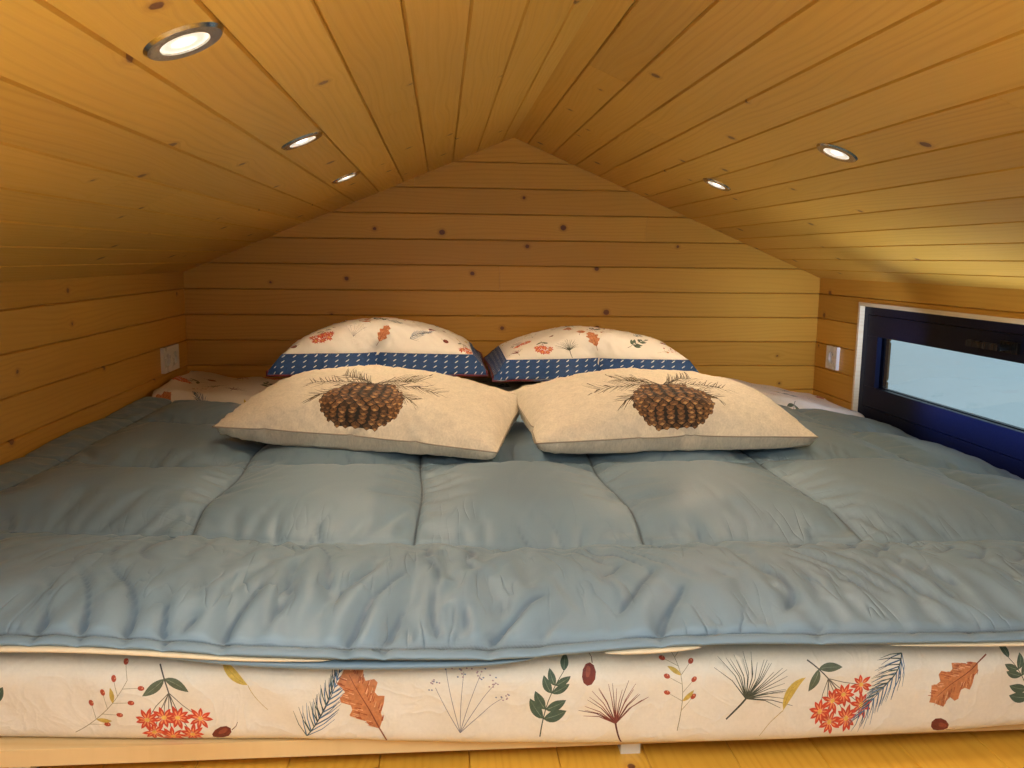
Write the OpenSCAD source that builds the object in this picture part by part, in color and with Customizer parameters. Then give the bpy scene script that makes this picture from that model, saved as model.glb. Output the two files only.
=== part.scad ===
// Sleeping loft of a small timber house: the gabled end bay with its boarded walls and ceiling,
// a hopper window, recessed lamps, and a double bed made up on a low slatted base.
// The origin is at the middle of the underside. +Y points to the gable, -Y to the open end.

/* [Room] */
// Clear width between the side linings
inner_w = 2250; // [2150:10:2400]
// Clear length from the open end to the gable lining
inner_l = 2500; // [2350:10:2800]
// Height of the eaves above the loft floor
eave_h = 585; // [560:5:760]
// Rise of the ridge above the eaves, on the ceiling
ridge_rise = 470; // [400:5:560]

/* [Floor] */
// Height of a floor joist
joist_h = 120; // [90:5:160]
// Width of a floor joist
joist_w = 60; // [45:5:80]
// Number of floor joists
joist_count = 6; // [5:1:7]
// Thickness of the floor boards
floor_t = 22; // [18:1:28]

/* [Walls] */
// Thickness of the boarded lining inside
lining_t = 13; // [11:1:16]
// Depth of a wall stud
stud_d = 90; // [75:5:110]
// Width of a stud and height of a plate
stud_w = 45; // [38:1:50]
// Thickness of the outside cladding
cladding_t = 22; // [18:1:26]

/* [Roof] */
// Depth of a rafter, square to the slope
rafter_d = 100; // [90:5:120]
// Width of a rafter
rafter_w = 45; // [38:1:50]
// Spacing of the rafters, and of the lamps that sit halfway between them
rafter_pitch = 700; // [640:10:740]
// Thickness of the ridge board
ridge_board_t = 30; // [25:1:40]
// Thickness of the roof deck
deck_t = 15; // [12:1:18]
// Thickness of the metal roof sheet
sheet_t = 2; // [1.5:0.5:3]
// Height of a standing seam
seam_h = 25; // [20:1:32]
// Width of a standing seam
seam_w = 10; // [8:1:14]
// Spacing of the standing seams
seam_pitch = 420; // [380:10:480]
// Thickness of the fascia and barge boards
fascia_t = 20; // [16:1:24]
// Height of the fascia and barge boards
fascia_h = 150; // [140:5:180]
// Width of each wing of the ridge cap
ridge_cap_w = 110; // [80:5:150]

/* [Window] */
// Width of the window frame
win_w = 1450; // [1000:10:1500]
// Height of the window frame
win_h = 380; // [340:5:420]
// Distance from the gable lining to the window frame
win_from_gable = 318; // [280:2:400]
// Drop from the eaves to the top of the window frame
win_drop = 82; // [80:2:110]
// Depth of the window frame through the wall
win_d = 70; // [60:2:80]
// Recess of the window frame behind the lining
win_recess = 12; // [10:1:22]
// Visible width of the frame at its sides and top
frame_w = 26; // [20:1:32]
// Visible height of the frame at its foot
frame_foot = 54; // [40:1:60]
// Visible width of the sash
sash_w = 68; // [55:1:75]
// Depth of the sash
sash_d = 54; // [45:1:56]
// Thickness of the double glazing
glass_t = 24; // [20:1:28]
// Length of the window lever
lever_l = 128; // [100:1:150]
// Width of the casing strip round the window, seen from the room
trim_w = 12; // [8:1:20]

/* [Lamps and sockets] */
// Outer radius of a lamp ring
lamp_r = 40; // [38:1:45]
// Radius of the lit glass of a lamp
lens_r = 25; // [20:1:28]
// Radius of the lamp's can above the ceiling
can_r = 32; // [31:1:34]
// Height of the lamp's can above the ceiling face
can_h = 62; // [45:1:75]
// Distance of the lamps from the ridge, level
lamp_x = 495; // [400:5:600]
// Side of a single socket plate
socket_s = 80; // [76:1:86]
// Length of the double socket plate
socket_pair = 151; // [145:1:160]
// Height of the socket centres above the loft floor
socket_z = 312; // [300:1:330]

/* [Bed base] */
// Width of the slatted base and of the mattress
bed_w = 1600; // [1400:10:1660]
// Length of the slatted base
bed_l = 1965; // [1900:5:2050]
// Offset of the bed base from the middle of the room
bed_x = 0; // [-60:5:60]
// Width of a bearer under the slats
bearer_w = 26; // [20:1:45]
// Height of a bearer
bearer_h = 20; // [16:1:30]
// Inset of the outer bearers from the ends of the slats
bearer_inset = 43; // [40:1:120]
// Thickness of a slat
slat_t = 22; // [16:1:24]
// Width of a slat
slat_w = 95; // [70:5:110]
// Number of slats
slat_count = 13; // [10:1:15]

/* [Bedding] */
// Thickness of the mattress
mattress_t = 115; // [110:5:170]
// Radius of the mattress's upper edges at its head and foot
mattress_r = 55; // [30:5:60]
// Offset of the mattress from the middle of the base
mattress_shift = -60; // [-90:5:30]
// Thickness of the printed duvet under the quilt
duvet_t = 25; // [12:1:32]
// Thickness of the printed duvet where it shows at the head
duvet_head_t = 75; // [50:1:85]
// Thickness of the quilt along its seams
quilt_t = 14; // [10:1:24]
// Height of the quilted puffs over the seams
puff_h = 30; // [6:1:34]
// Spacing of the quilt's lengthwise seams
quilt_seam_x = 375; // [320:1:420]
// Spacing of the quilt's cross seams
quilt_seam_y = 430; // [360:5:500]
// Fall of the bedding from the mattress to the window wall
right_fall = 60; // [20:1:70]
// Rise of the bedding from the mattress to the plain wall
left_rise = 22; // [0:1:40]
// Sag of the quilt's corners at the foot, past the mattress
corner_sag = 70; // [0:5:80]
// Forward bow of the quilt's foot in the middle
foot_bow = 60; // [0:5:70]
// Distance from the gable lining to the quilt's upper edge
quilt_from_gable = 455; // [430:5:620]
// Width of a pillow without its border
pillow_w = 560; // [500:10:580]
// Depth of a pillow without its border
pillow_d = 400; // [340:10:420]
// Height of the left pillow
left_pillow_h = 236; // [170:2:240]
// Height of the right pillow
right_pillow_h = 210; // [170:2:240]
// Share of a pillow's height that is under its seam
pillow_seam = 0.61; // [0.5:0.01:0.65]
// Width of a pillow's border, which hangs from the seam
pillow_border = 65; // [30:1:66]
// Distance of the pillows' middles from the gable lining
pillow_from_gable = 280; // [275:5:320]
// Place of the left pillow's middle across the room
left_pillow_x = -433; // [-500:1:-425]
// Place of the right pillow's middle across the room
right_pillow_x = 226; // [220:1:320]
// Width of a loose cushion
cushion_w = 645; // [500:5:660]
// Depth of a loose cushion
cushion_d = 430; // [350:10:460]
// Height of a loose cushion
cushion_h = 165; // [120:5:180]
// Lean of the cushions towards the gable, in degrees
cushion_lean = 6; // [3:1:12]
// Distance of the left cushion's middle from the gable lining
left_cushion_from_gable = 965; // [900:5:1050]
// Place of the left cushion's middle across the room
left_cushion_x = -390; // [-450:1:-380]
// Turn of the left cushion, in degrees
left_cushion_turn = -14; // [-16:1:0]
// Distance of the right cushion's middle from the gable lining
right_cushion_from_gable = 990; // [900:5:1050]
// Place of the right cushion's middle across the room
right_cushion_x = 262; // [262:1:340]
// Turn of the right cushion, in degrees
right_cushion_turn = 4; // [0:1:8]

/* [Hidden] */

// Room levels and planes
half_in = inner_w / 2;
half_frame_in = half_in + lining_t;
half_frame_out = half_frame_in + stud_d;
half_out = half_frame_out + cladding_t;
wall_t = lining_t + stud_d + cladding_t;
floor_z = joist_h + floor_t;
eave_z = floor_z + eave_h;
slope = atan(ridge_rise / half_in);
verge = fascia_t + 5;
total_l = inner_l + wall_t + verge;
front_y = -total_l / 2;
gable_y = front_y + inner_l;
gable_frame_y = gable_y + lining_t;
gable_stud_y = gable_frame_y + stud_d;
gable_out_y = gable_y + wall_t;
verge_y = total_l / 2;

// Levels through the roof, square to the slope from the ceiling face
rafter_t0 = lining_t;
deck_t0 = rafter_t0 + rafter_d;
sheet_t0 = deck_t0 + deck_t;
seam_t0 = sheet_t0 + sheet_t;
drip = 5;
eave_x = half_out + fascia_t + drip;

// Window planes, counted from the gable lining and from the eaves
win_y1 = gable_y - win_from_gable;
win_y0 = win_y1 - win_w;
win_z1 = eave_z - win_drop;
win_z0 = win_z1 - win_h;
win_x0 = half_in + win_recess;
win_x1 = win_x0 + win_d;
win_gap = 8;
sash_y0 = win_y0 + frame_w;
sash_y1 = win_y1 - frame_w;
sash_z0 = win_z0 + frame_foot;
sash_z1 = win_z1 - frame_w;
glass_bite = 14;
trim_proud = 5;
stop_lap = 12;
handle_z = sash_z1 - sash_w / 2;
handle_y = (win_y0 + win_y1) / 2;

// Bed levels
bearer_top = floor_z + bearer_h;
base_top = bearer_top + slat_t;
mattress_top = base_top + mattress_t;
rest_gap = 0.3;
bed_head_gap = 12;
bed_foot_y = gable_y - bed_head_gap - bed_l;
mattress_foot_y = bed_foot_y - 28;
mattress_head_y = gable_y - bed_head_gap;
mattress_low_r = 12;
duvet_foot_y = mattress_foot_y + 520;
duvet_ramp = 60;
quilt_foot_y = mattress_foot_y - 25;
quilt_roll = 130;
foot_fall = 20;
quilt_hem = 12;
quilt_head_y = gable_y - quilt_from_gable;
quilt_phase_x = 85;
quilt_phase_y = gable_y - 1190;
bow_x = 200;
bow_reach = 500;
sag_reach = 350;
wall_clear = trim_proud + 1;
bedding_half = half_in - wall_clear;
bed_x0 = bed_x - bed_w / 2;
bed_x1 = bed_x + bed_w / 2;
mattress_x0 = bed_x0 + mattress_shift;
mattress_x1 = bed_x1 + mattress_shift;
bedding_top = mattress_top + duvet_t + quilt_t + 3 * rest_gap;

timber = "#d9b27c";
frame_timber = "#cfae80";
clad_timber = "#b98f5c";
anthracite = "#2b2d31";
print_cream = "#f0e4d0";

// Height of the plane t above the ceiling face, square to the slope, at distance x from the ridge
function roof_z(x, t) = eave_z + (half_in - abs(x)) * tan(slope) + t / cos(slope);

// Smooth step from 0 to 1
function ease(t) = let (c = min(1, max(0, t))) c * c * (3 - 2 * c);

// Fall of the bedding beside the mattress, below nought where it rises
function side_fall(x, y) =
    let (right = ease((x - mattress_x1) / (bedding_half - mattress_x1)),
         left = ease((mattress_x0 - x) / (bedding_half + mattress_x0)),
         sag = corner_sag * ease((quilt_foot_y + sag_reach - y) / sag_reach))
    (right_fall + sag) * right + (sag - left_rise) * left;

// Fall of the quilt's top over the foot of the bed
function foot_drop(y) =
    let (t = min(1, max(0, (quilt_foot_y + quilt_roll - y) / quilt_roll))) foot_fall * t * t;

// Backward shift of the quilt's foot away from the middle of its bow
function bow_back(x, y) =
    foot_bow * pow(min(1, abs(x - bow_x) / half_in), 2) * ease((quilt_foot_y + bow_reach - y) / bow_reach);

// A box between two corners
module span(a, b) {
    translate(a) cube([b[0] - a[0], b[1] - a[1], b[2] - a[2]]);
}

// A prism along Y of an outline in X and Z
module along_y(outline, y0, y1) {
    translate([0, y1, 0]) rotate([90, 0, 0]) linear_extrude(y1 - y0) polygon(outline);
}

// A prism along X of an outline in Y and Z
module along_x(outline, x0, x1) {
    translate([x0, 0, 0]) rotate([90, 0, 90]) linear_extrude(x1 - x0) polygon(outline);
}

// One layer of a roof slope with plumb ends, side 1 for right and -1 for left
module roof_layer(side, x0, x1, t0, t1, y0, y1) {
    outline = [[side * x0, roof_z(x0, t0)], [side * x1, roof_z(x1, t0)],
               [side * x1, roof_z(x1, t1)], [side * x0, roof_z(x0, t1)]];
    along_y(outline, y0, y1);
}

// Moves its children onto the ceiling face of a slope, with +Z out through the roof
module on_slope(side, x, y) {
    translate([side * x, y, roof_z(x, 0)]) rotate([0, side * slope, 0]) children();
}

function lamp_y(k) = gable_y - k * rafter_pitch;
lamp_count = floor((inner_l - lamp_r - 20) / rafter_pitch);

module at_lamps(side) {
    for (k = [1:lamp_count]) on_slope(side, lamp_x, lamp_y(k)) children();
}

module floor_joists() {
    clear = gable_frame_y - front_y - joist_w;
    color(frame_timber)
    for (i = [0:joist_count - 1]) {
        y = front_y + i * clear / (joist_count - 1);
        span([-half_frame_in, y, 0], [half_frame_in, y + joist_w, joist_h]);
    }
}

module floor_boards() {
    color(timber) span([-half_frame_in, front_y, joist_h], [half_frame_in, gable_frame_y, floor_z]);
}

// Where the studs of a side wall stand, by their near faces
function plain_stud_ys() =
    let (run = gable_stud_y - stud_w - front_y) [for (i = [0:4]) front_y + i * run / 4];
function window_stud_ys() =
    [front_y, win_y0 - win_gap - stud_w, win_y1 + win_gap, gable_stud_y - stud_w];

plate_under = roof_z(half_frame_out, rafter_t0) - stud_w;

module wall_stud(side, y, z1) {
    x0 = min(side * half_frame_in, side * half_frame_out);
    span([x0, y, stud_w], [x0 + stud_d, y + stud_w, z1]);
}

module left_wall_studs() {
    color(frame_timber) for (y = plain_stud_ys()) wall_stud(-1, y, plate_under);
}

// Full studs beside the window, and short ones under its sill plate
module right_wall_studs() {
    sill_under = win_z0 - win_gap - stud_w;
    color(frame_timber) {
        for (y = window_stud_ys()) wall_stud(1, y, plate_under);
        for (i = [1:2]) wall_stud(1, win_y0 + i * win_w / 3 - stud_w / 2, sill_under);
    }
}

// Foot plate, and head plate bevelled to the underside of the rafters
module wall_plates(side) {
    x0 = half_frame_in;
    x1 = half_frame_out;
    foot = [[side * x0, 0], [side * x1, 0], [side * x1, stud_w], [side * x0, stud_w]];
    head = [[side * x0, plate_under], [side * x1, plate_under],
            [side * x1, roof_z(x1, rafter_t0)], [side * x0, roof_z(x0, rafter_t0)]];
    along_y(foot, front_y, gable_stud_y);
    along_y(head, front_y, gable_stud_y);
}

module left_wall_plates() { color(frame_timber) wall_plates(-1); }

module right_wall_plates() {
    z1 = win_z0 - win_gap;
    color(frame_timber) {
        wall_plates(1);
        span([half_frame_in, win_y0 - win_gap, z1 - stud_w], [half_frame_out, win_y1 + win_gap, z1]);
    }
}

module side_skin(side, x0, x1, z0, y1) {
    outline = [[side * x0, z0], [side * x1, z0], [side * x1, roof_z(x1, x0 > half_in ? rafter_t0 : 0)],
               [side * x0, roof_z(x0, x0 > half_in ? rafter_t0 : 0)]];
    along_y(outline, front_y, y1);
}

// The window opening, with saw cuts that part the boards beside it from those over and under it
module window_hole(grow) {
    cut = 0.4;
    span([half_in - 1, win_y0 - grow, win_z0 - grow], [half_out + 1, win_y1 + grow, win_z1 + grow]);
    for (y = [win_y0 - grow - cut, win_y1 + grow])
        span([half_in - 1, y, -1], [half_out + 1, y + cut, eave_z + cut]);
}

module left_wall_lining() { color(timber) side_skin(-1, half_in, half_frame_in, floor_z, gable_frame_y); }

module right_wall_lining() {
    color(timber) difference() {
        side_skin(1, half_in, half_frame_in, floor_z, gable_frame_y);
        window_hole(trim_w);
    }
}

module left_wall_cladding() { color(clad_timber) side_skin(-1, half_frame_out, half_out, 0, gable_out_y); }

module right_wall_cladding() {
    color(clad_timber) difference() {
        side_skin(1, half_frame_out, half_out, 0, gable_out_y);
        window_hole(0);
    }
}

function gable_stud_xs() = [for (i = [-2:2]) i * (half_frame_in - stud_w / 2) / 2];

// Gable studs, cut to the slope under the sloping head plates
module gable_studs() {
    color(frame_timber)
    for (x = gable_stud_xs()) {
        top = abs(x) < 1 ? 0 : stud_w;
        span_x = [x - stud_w / 2, x + stud_w / 2];
        t = rafter_t0 - top;
        peak = abs(x) < 1 ? [[0, roof_z(0, t)]] : [];
        outline = concat([[span_x[0], stud_w], [span_x[1], stud_w], [span_x[1], roof_z(span_x[1], t)]],
                         peak, [[span_x[0], roof_z(span_x[0], t)]]);
        along_y(outline, gable_frame_y, gable_stud_y);
    }
}

module gable_plates() {
    color(frame_timber) {
        span([-half_frame_in, gable_frame_y, 0], [half_frame_in, gable_stud_y, stud_w]);
        for (side = [-1, 1])
            roof_layer(side, stud_w / 2, half_frame_in, rafter_t0 - stud_w, rafter_t0,
                       gable_frame_y, gable_stud_y);
    }
}

module gable_skin(half, z0, t, y0, y1) {
    outline = [[-half, z0], [half, z0], [half, roof_z(half, t)], [0, roof_z(0, t)], [-half, roof_z(half, t)]];
    along_y(outline, y0, y1);
}

module gable_lining() { color(timber) gable_skin(half_in, floor_z, 0, gable_y, gable_frame_y); }

module gable_cladding() {
    color(clad_timber) gable_skin(half_frame_out, 0, rafter_t0, gable_stud_y, gable_out_y);
}

module ceiling_lining(side) {
    difference() {
        roof_layer(side, 0, half_frame_in, 0, lining_t, front_y, gable_frame_y);
        at_lamps(side) cylinder(h = 3 * lining_t, r = can_r + 1, center = true, $fn = 64);
    }
}

module left_ceiling_lining() { color(timber) ceiling_lining(-1); }

module right_ceiling_lining() { color(timber) ceiling_lining(1); }

// The first and last rafters close the ends, and the others stand between the lamps
function rafter_ys() =
    concat([front_y, gable_out_y - rafter_w],
           [for (k = [1:lamp_count]) if (lamp_y(k) - rafter_pitch / 2 > front_y + 2 * rafter_w)
               lamp_y(k) - (rafter_pitch + rafter_w) / 2],
           [gable_y - (rafter_pitch + rafter_w) / 2]);

module rafters(side) {
    for (y = rafter_ys())
        roof_layer(side, ridge_board_t / 2, half_out, rafter_t0, deck_t0, y, y + rafter_w);
}

module left_rafters() { color(frame_timber) rafters(-1); }

module right_rafters() { color(frame_timber) rafters(1); }

module ridge_board() {
    h = ridge_board_t / 2;
    outline = [[-h, roof_z(h, rafter_t0)], [0, roof_z(0, rafter_t0)], [h, roof_z(h, rafter_t0)],
               [h, roof_z(h, deck_t0)], [0, roof_z(0, deck_t0)], [-h, roof_z(h, deck_t0)]];
    color(frame_timber) along_y(outline, front_y, gable_out_y);
}

module roof_deck(side) {
    roof_layer(side, 0, half_out + fascia_t, deck_t0, sheet_t0, front_y, gable_out_y + fascia_t);
}

module left_roof_deck() { color(clad_timber) roof_deck(-1); }

module right_roof_deck() { color(clad_timber) roof_deck(1); }

// A folded metal sheet with standing seams down the slope and a turned drip at the eaves
module roof_sheet(side) {
    seams = floor((total_l - seam_w) / seam_pitch);
    first = -seams * seam_pitch / 2;
    roof_layer(side, 0, eave_x, sheet_t0, seam_t0, front_y, verge_y);
    roof_layer(side, eave_x - sheet_t, eave_x, deck_t0, sheet_t0, front_y, verge_y);
    for (i = [0:seams])
        roof_layer(side, ridge_cap_w + 6, eave_x - 12, seam_t0, seam_t0 + seam_h,
                   first + i * seam_pitch - seam_w / 2, first + i * seam_pitch + seam_w / 2);
}

module left_roof_sheet() { color(anthracite) roof_sheet(-1); }

module right_roof_sheet() { color(anthracite) roof_sheet(1); }

// A folded cap over the ridge, with a raised fold along its middle
module ridge_cap() {
    t0 = seam_t0;
    t1 = seam_t0 + seam_h + 2 * sheet_t;
    fold = 14;
    w = ridge_cap_w;
    outline = [[-w, roof_z(w, t0)], [0, roof_z(0, t0)], [w, roof_z(w, t0)], [w, roof_z(w, t1)],
               [fold, roof_z(fold, t1)], [fold, roof_z(0, t1) + 6], [-fold, roof_z(0, t1) + 6],
               [-fold, roof_z(fold, t1)], [-w, roof_z(w, t1)]];
    color(anthracite) along_y(outline, front_y, verge_y);
}

fascia_z1 = roof_z(half_out + fascia_t, deck_t0);

module fascia(side) {
    x0 = half_out;
    x1 = half_out + fascia_t;
    z0 = fascia_z1 - fascia_h;
    outline = [[side * x0, z0], [side * x1, z0], [side * x1, fascia_z1], [side * x0, roof_z(x0, deck_t0)]];
    along_y(outline, front_y, gable_out_y + fascia_t);
}

module left_fascia() { color(clad_timber) fascia(-1); }

module right_fascia() { color(clad_timber) fascia(1); }

module barge_board(side) {
    roof_layer(side, 0, half_out, deck_t0 - fascia_h, deck_t0, gable_out_y, gable_out_y + fascia_t);
}

module left_barge_board() { color(clad_timber) barge_board(-1); }

module right_barge_board() { color(clad_timber) barge_board(1); }

// A ring of four bars round the window's middle, w wide inside the edges y0, y1, z0 and z1
module bars(x0, x1, y0, y1, z0, z1, w, foot) {
    joint = 0.3;
    span([x0, y0, z0], [x1, y1, z0 + foot]);
    span([x0, y0, z1 - w], [x1, y1, z1]);
    for (y = [y0, y1 - w]) span([x0, y, z0 + foot + joint], [x1, y + w, z1 - w - joint]);
}

// The frame, with a deeper lip along its outer edge that the sash closes against
module window_frame() {
    lip_x = win_x0 + sash_d;
    color(anthracite) {
        bars(win_x0, lip_x, win_y0, win_y1, win_z0, win_z1, frame_w, frame_foot);
        bars(lip_x, win_x1, win_y0, win_y1, win_z0, win_z1, frame_w + stop_lap, frame_foot + stop_lap);
    }
}

module glass_block(grow) {
    x = win_x0 + (sash_d - glass_t) / 2;
    bite = sash_w - glass_bite;
    span([x, sash_y0 + bite - grow, sash_z0 + bite - grow],
         [x + glass_t, sash_y1 - bite + grow, sash_z1 - bite + grow]);
}

module window_sash() {
    slack = 2;
    color(anthracite) difference() {
        bars(win_x0, win_x0 + sash_d - rest_gap, sash_y0 + slack, sash_y1 - slack,
             sash_z0 + slack, sash_z1 - slack, sash_w - slack, sash_w - slack);
        glass_block(rest_gap);
    }
}

module window_glass() { color("#a9c4cf") glass_block(0); }

// Handle plate, neck and lever on the top bar of the sash
module window_handle() {
    plate = [8, 66, 28];
    neck_r = 8;
    neck_l = 34;
    color("#1b1c1e") translate([win_x0, handle_y, handle_z]) {
        translate([-plate[0], -plate[1] / 2, -plate[2] / 2]) cube(plate);
        rotate([0, -90, 0]) cylinder(h = neck_l, r = neck_r, $fn = 32);
        translate([-neck_l - neck_r, 0, 0]) {
            translate([0, -neck_r, -neck_r]) cube([neck_r, lever_l - neck_r, 2 * neck_r]);
            translate([0, lever_l - 2 * neck_r, 0])
                rotate([0, 90, 0]) cylinder(h = neck_r, r = neck_r, $fn = 32);
        }
    }
}

// Casing round the opening, from the frame to just proud of the lining
module window_trim() {
    color("#dcc59c")
        bars(half_in - trim_proud, win_x0 - rest_gap, win_y0 - trim_w, win_y1 + trim_w,
             win_z0 - trim_w, win_z1 + trim_w, trim_w, trim_w);
}

// Sloping metal sill outside, under the frame's lip
module window_sill() {
    x1 = half_out + 25;
    fall = 8;
    z = win_z0 + fall + sheet_t;
    lip = 14;
    outline = [[win_x1, z - sheet_t], [x1 - sheet_t, z - fall - sheet_t], [x1 - sheet_t, z - fall - lip],
               [x1, z - fall - lip], [x1, z - fall], [win_x1, z]];
    color(anthracite) along_y(outline, win_y0 + 1, win_y1 - 1);
}

// A lamp's ring and can, with a well for the lit glass
module lamp_ring() {
    flange = 3;
    well = 6;
    difference() {
        union() {
            translate([0, 0, -flange]) cylinder(h = flange, r1 = lamp_r - flange, r2 = lamp_r, $fn = 64);
            translate([0, 0, -1]) cylinder(h = can_h + 1, r = can_r, $fn = 64);
        }
        translate([0, 0, -flange - 1]) cylinder(h = well + 1, r = lens_r, $fn = 64);
    }
}

module lamp_rings() { color("#d5d7da") for (side = [-1, 1]) at_lamps(side) lamp_ring(); }

module lamp_lenses() {
    color("#fff3d6") for (side = [-1, 1]) at_lamps(side)
        translate([0, 0, -1]) cylinder(h = 4 - rest_gap, r = lens_r - rest_gap, $fn = 64);
}

// A socket plate on a side wall, with a round well and its pin at each of its n places
module socket(side, y, w, n) {
    plate = 11;
    well_r = 20;
    well = 7;
    pitch = w / n;
    z = floor_z + socket_z;
    x0 = min(side * half_in, side * (half_in - plate));
    difference() {
        span([x0, y - w / 2, z - socket_s / 2], [x0 + plate, y + w / 2, z + socket_s / 2]);
        for (i = [0:n - 1])
            translate([side * (half_in - plate + well), y + (i - (n - 1) / 2) * pitch, z])
                rotate([0, -side * 90, 0]) cylinder(h = well + 1, r = well_r, $fn = 48);
    }
    for (i = [0:n - 1])
        translate([side * (half_in - plate + well), y + (i - (n - 1) / 2) * pitch, z + well_r / 2])
            rotate([0, -side * 90, 0]) cylinder(h = well, r = 2.4, $fn = 16);
}

module left_socket() { color("#f4f2ec") socket(-1, gable_y - 200, socket_pair, 2); }

module right_socket() { color("#f4f2ec") socket(1, gable_y - 150, socket_s, 1); }

module bed_bearers() {
    inset = bed_w / 2 - bearer_inset + bearer_w / 2;
    color("#f2efe8")
    for (x = [-inset, 0, inset])
        span([bed_x + x - bearer_w / 2, bed_foot_y + 10, floor_z],
             [bed_x + x + bearer_w / 2, bed_foot_y + bed_l, bearer_top]);
}

module bed_slats() {
    pitch = (bed_l - slat_w) / (slat_count - 1);
    color("#e6cfa2")
    for (i = [0:slat_count - 1]) {
        y = bed_foot_y + i * pitch;
        span([bed_x0, y, bearer_top], [bed_x1, y + slat_w, base_top]);
    }
}

// Even steps from a to b
function steps(a, b, n) = [for (i = [0:n]) a + (b - a) * i / n];

bedding_xs = concat(steps(-bedding_half, mattress_x0, 6), steps(mattress_x0 + 50, mattress_x1 - 50, 26),
                    steps(mattress_x1, bedding_half, 6));

// A closed sheet over the grid xs by ys, from its lower points to its upper points
module sheet_mesh(points_low, points_high, nx, ny) {
    count = nx * ny;
    low = [for (j = [0:ny - 2]) for (i = [0:nx - 2])
        let (a = j * nx + i) each [[a, a + nx, a + 1], [a + 1, a + nx, a + nx + 1]]];
    high = [for (f = low) [f[2] + count, f[1] + count, f[0] + count]];
    rim = concat([for (i = [0:nx - 2]) [i, i + 1]],
                 [for (j = [0:ny - 2]) [j * nx + nx - 1, (j + 1) * nx + nx - 1]],
                 [for (i = [nx - 2:-1:0]) [(ny - 1) * nx + i + 1, (ny - 1) * nx + i]],
                 [for (j = [ny - 2:-1:0]) [(j + 1) * nx, j * nx]]);
    walls = [for (e = rim) each [[e[0], e[1], e[1] + count], [e[0], e[1] + count, e[0] + count]]];
    polyhedron(concat(points_low, points_high), [for (f = concat(low, high, walls)) [f[2], f[1], f[0]]]);
}

mattress_xs = [for (x = bedding_xs) if (x >= mattress_x0 && x <= mattress_x1) x];

// Drop of a round edge of radius r at distance d inside it
function round_drop(d, r) = let (e = min(r, max(0, r - d))) r - sqrt(r * r - e * e);

mattress_ys = concat([for (a = [0:15:90]) mattress_foot_y + mattress_r * (1 - cos(a))],
                     steps(mattress_foot_y + 1.5 * mattress_r, mattress_foot_y + bow_reach, 6),
                     [for (a = [90:-15:0]) mattress_head_y - mattress_r * (1 - cos(a))]);

// Height of the mattress's top, rounded over at foot and head
function mattress_z(y) =
    mattress_top - round_drop(y - mattress_foot_y, mattress_r) - round_drop(mattress_head_y - y, mattress_r);

module mattress() {
    low = [for (y = mattress_ys) for (x = mattress_xs)
        [x, y + bow_back(x, y), base_top + rest_gap + round_drop(y - mattress_foot_y, mattress_low_r)]];
    high = [for (y = mattress_ys) for (x = mattress_xs) [x, y + bow_back(x, y), mattress_z(y)]];
    color(print_cream) sheet_mesh(low, high, len(mattress_xs), len(mattress_ys));
}

// Thickness of the duvet along the bed: rounded at its foot, swollen past the quilt's upper edge
function duvet_rise(y) =
    duvet_t * (0.3 + 0.7 * ease((y - duvet_foot_y) / duvet_ramp))
    + (duvet_head_t - duvet_t) * ease((y - quilt_head_y - 8) / 70) * (0.5 + 0.5 * ease((gable_y - y) / 60));

duvet_ys = concat(steps(duvet_foot_y, duvet_foot_y + duvet_ramp, 3),
                  steps(duvet_foot_y + 120, quilt_head_y + 8, 6),
                  steps(quilt_head_y + 22, quilt_head_y + 78, 4), steps(quilt_head_y + 100, gable_y - 66, 3),
                  steps(gable_y - 45, gable_y - wall_clear, 3));

duvet_xs = [for (x = bedding_xs) if (x <= mattress_x0 || x >= mattress_x1) x];

module duvet() {
    low = [for (y = duvet_ys) for (x = duvet_xs) [x, y, mattress_top + rest_gap - side_fall(x, y)]];
    high = [for (y = duvet_ys) for (x = duvet_xs)
        [x, y, mattress_top + rest_gap + duvet_rise(y) - side_fall(x, y)]];
    color(print_cream) sheet_mesh(low, high, len(duvet_xs), len(duvet_ys));
}

// Swell of the quilt between its seams, from 0 on a seam to 1
function swell(x, y) =
    pow(abs(sin(180 * (x - quilt_phase_x) / quilt_seam_x)
            * sin(180 * (y - quilt_phase_y) / quilt_seam_y)), 0.5);

function quilt_top(x, y) =
    let (thin = ease((quilt_head_y - y) / 60),
         under_duvet = 1 - ease((y - duvet_foot_y + 3 * duvet_ramp) / (3 * duvet_ramp)))
    bedding_top - side_fall(x, y) - foot_drop(y) - duvet_t * under_duvet + puff_h * swell(x, y) * thin
    - quilt_t / 2 * (1 - thin);

// The underside rides over the duvet's foot, then follows the round of the mattress
function quilt_under(x, y) =
    let (ride = duvet_t * ease((y - duvet_foot_y + duvet_ramp) / (duvet_ramp - 2)))
    mattress_top + 2 * rest_gap + ride - side_fall(x, y)
    - min(quilt_hem, round_drop(y - mattress_foot_y, mattress_r));

quilt_ys = concat(steps(quilt_foot_y, mattress_foot_y + mattress_r, 6),
                  steps(mattress_foot_y + mattress_r + 15, duvet_foot_y - duvet_ramp, 7),
                  steps(duvet_foot_y - duvet_ramp / 2, duvet_foot_y, 1),
                  steps(duvet_foot_y + 40, quilt_head_y, 18));

module quilt() {
    low = [for (y = quilt_ys) for (x = bedding_xs) [x, y + bow_back(x, y), quilt_under(x, y)]];
    high = [for (y = quilt_ys) for (x = bedding_xs) [x, y + bow_back(x, y), quilt_top(x, y)]];
    color("#7f8e9c") sheet_mesh(low, high, len(bedding_xs), len(quilt_ys));
}

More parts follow.
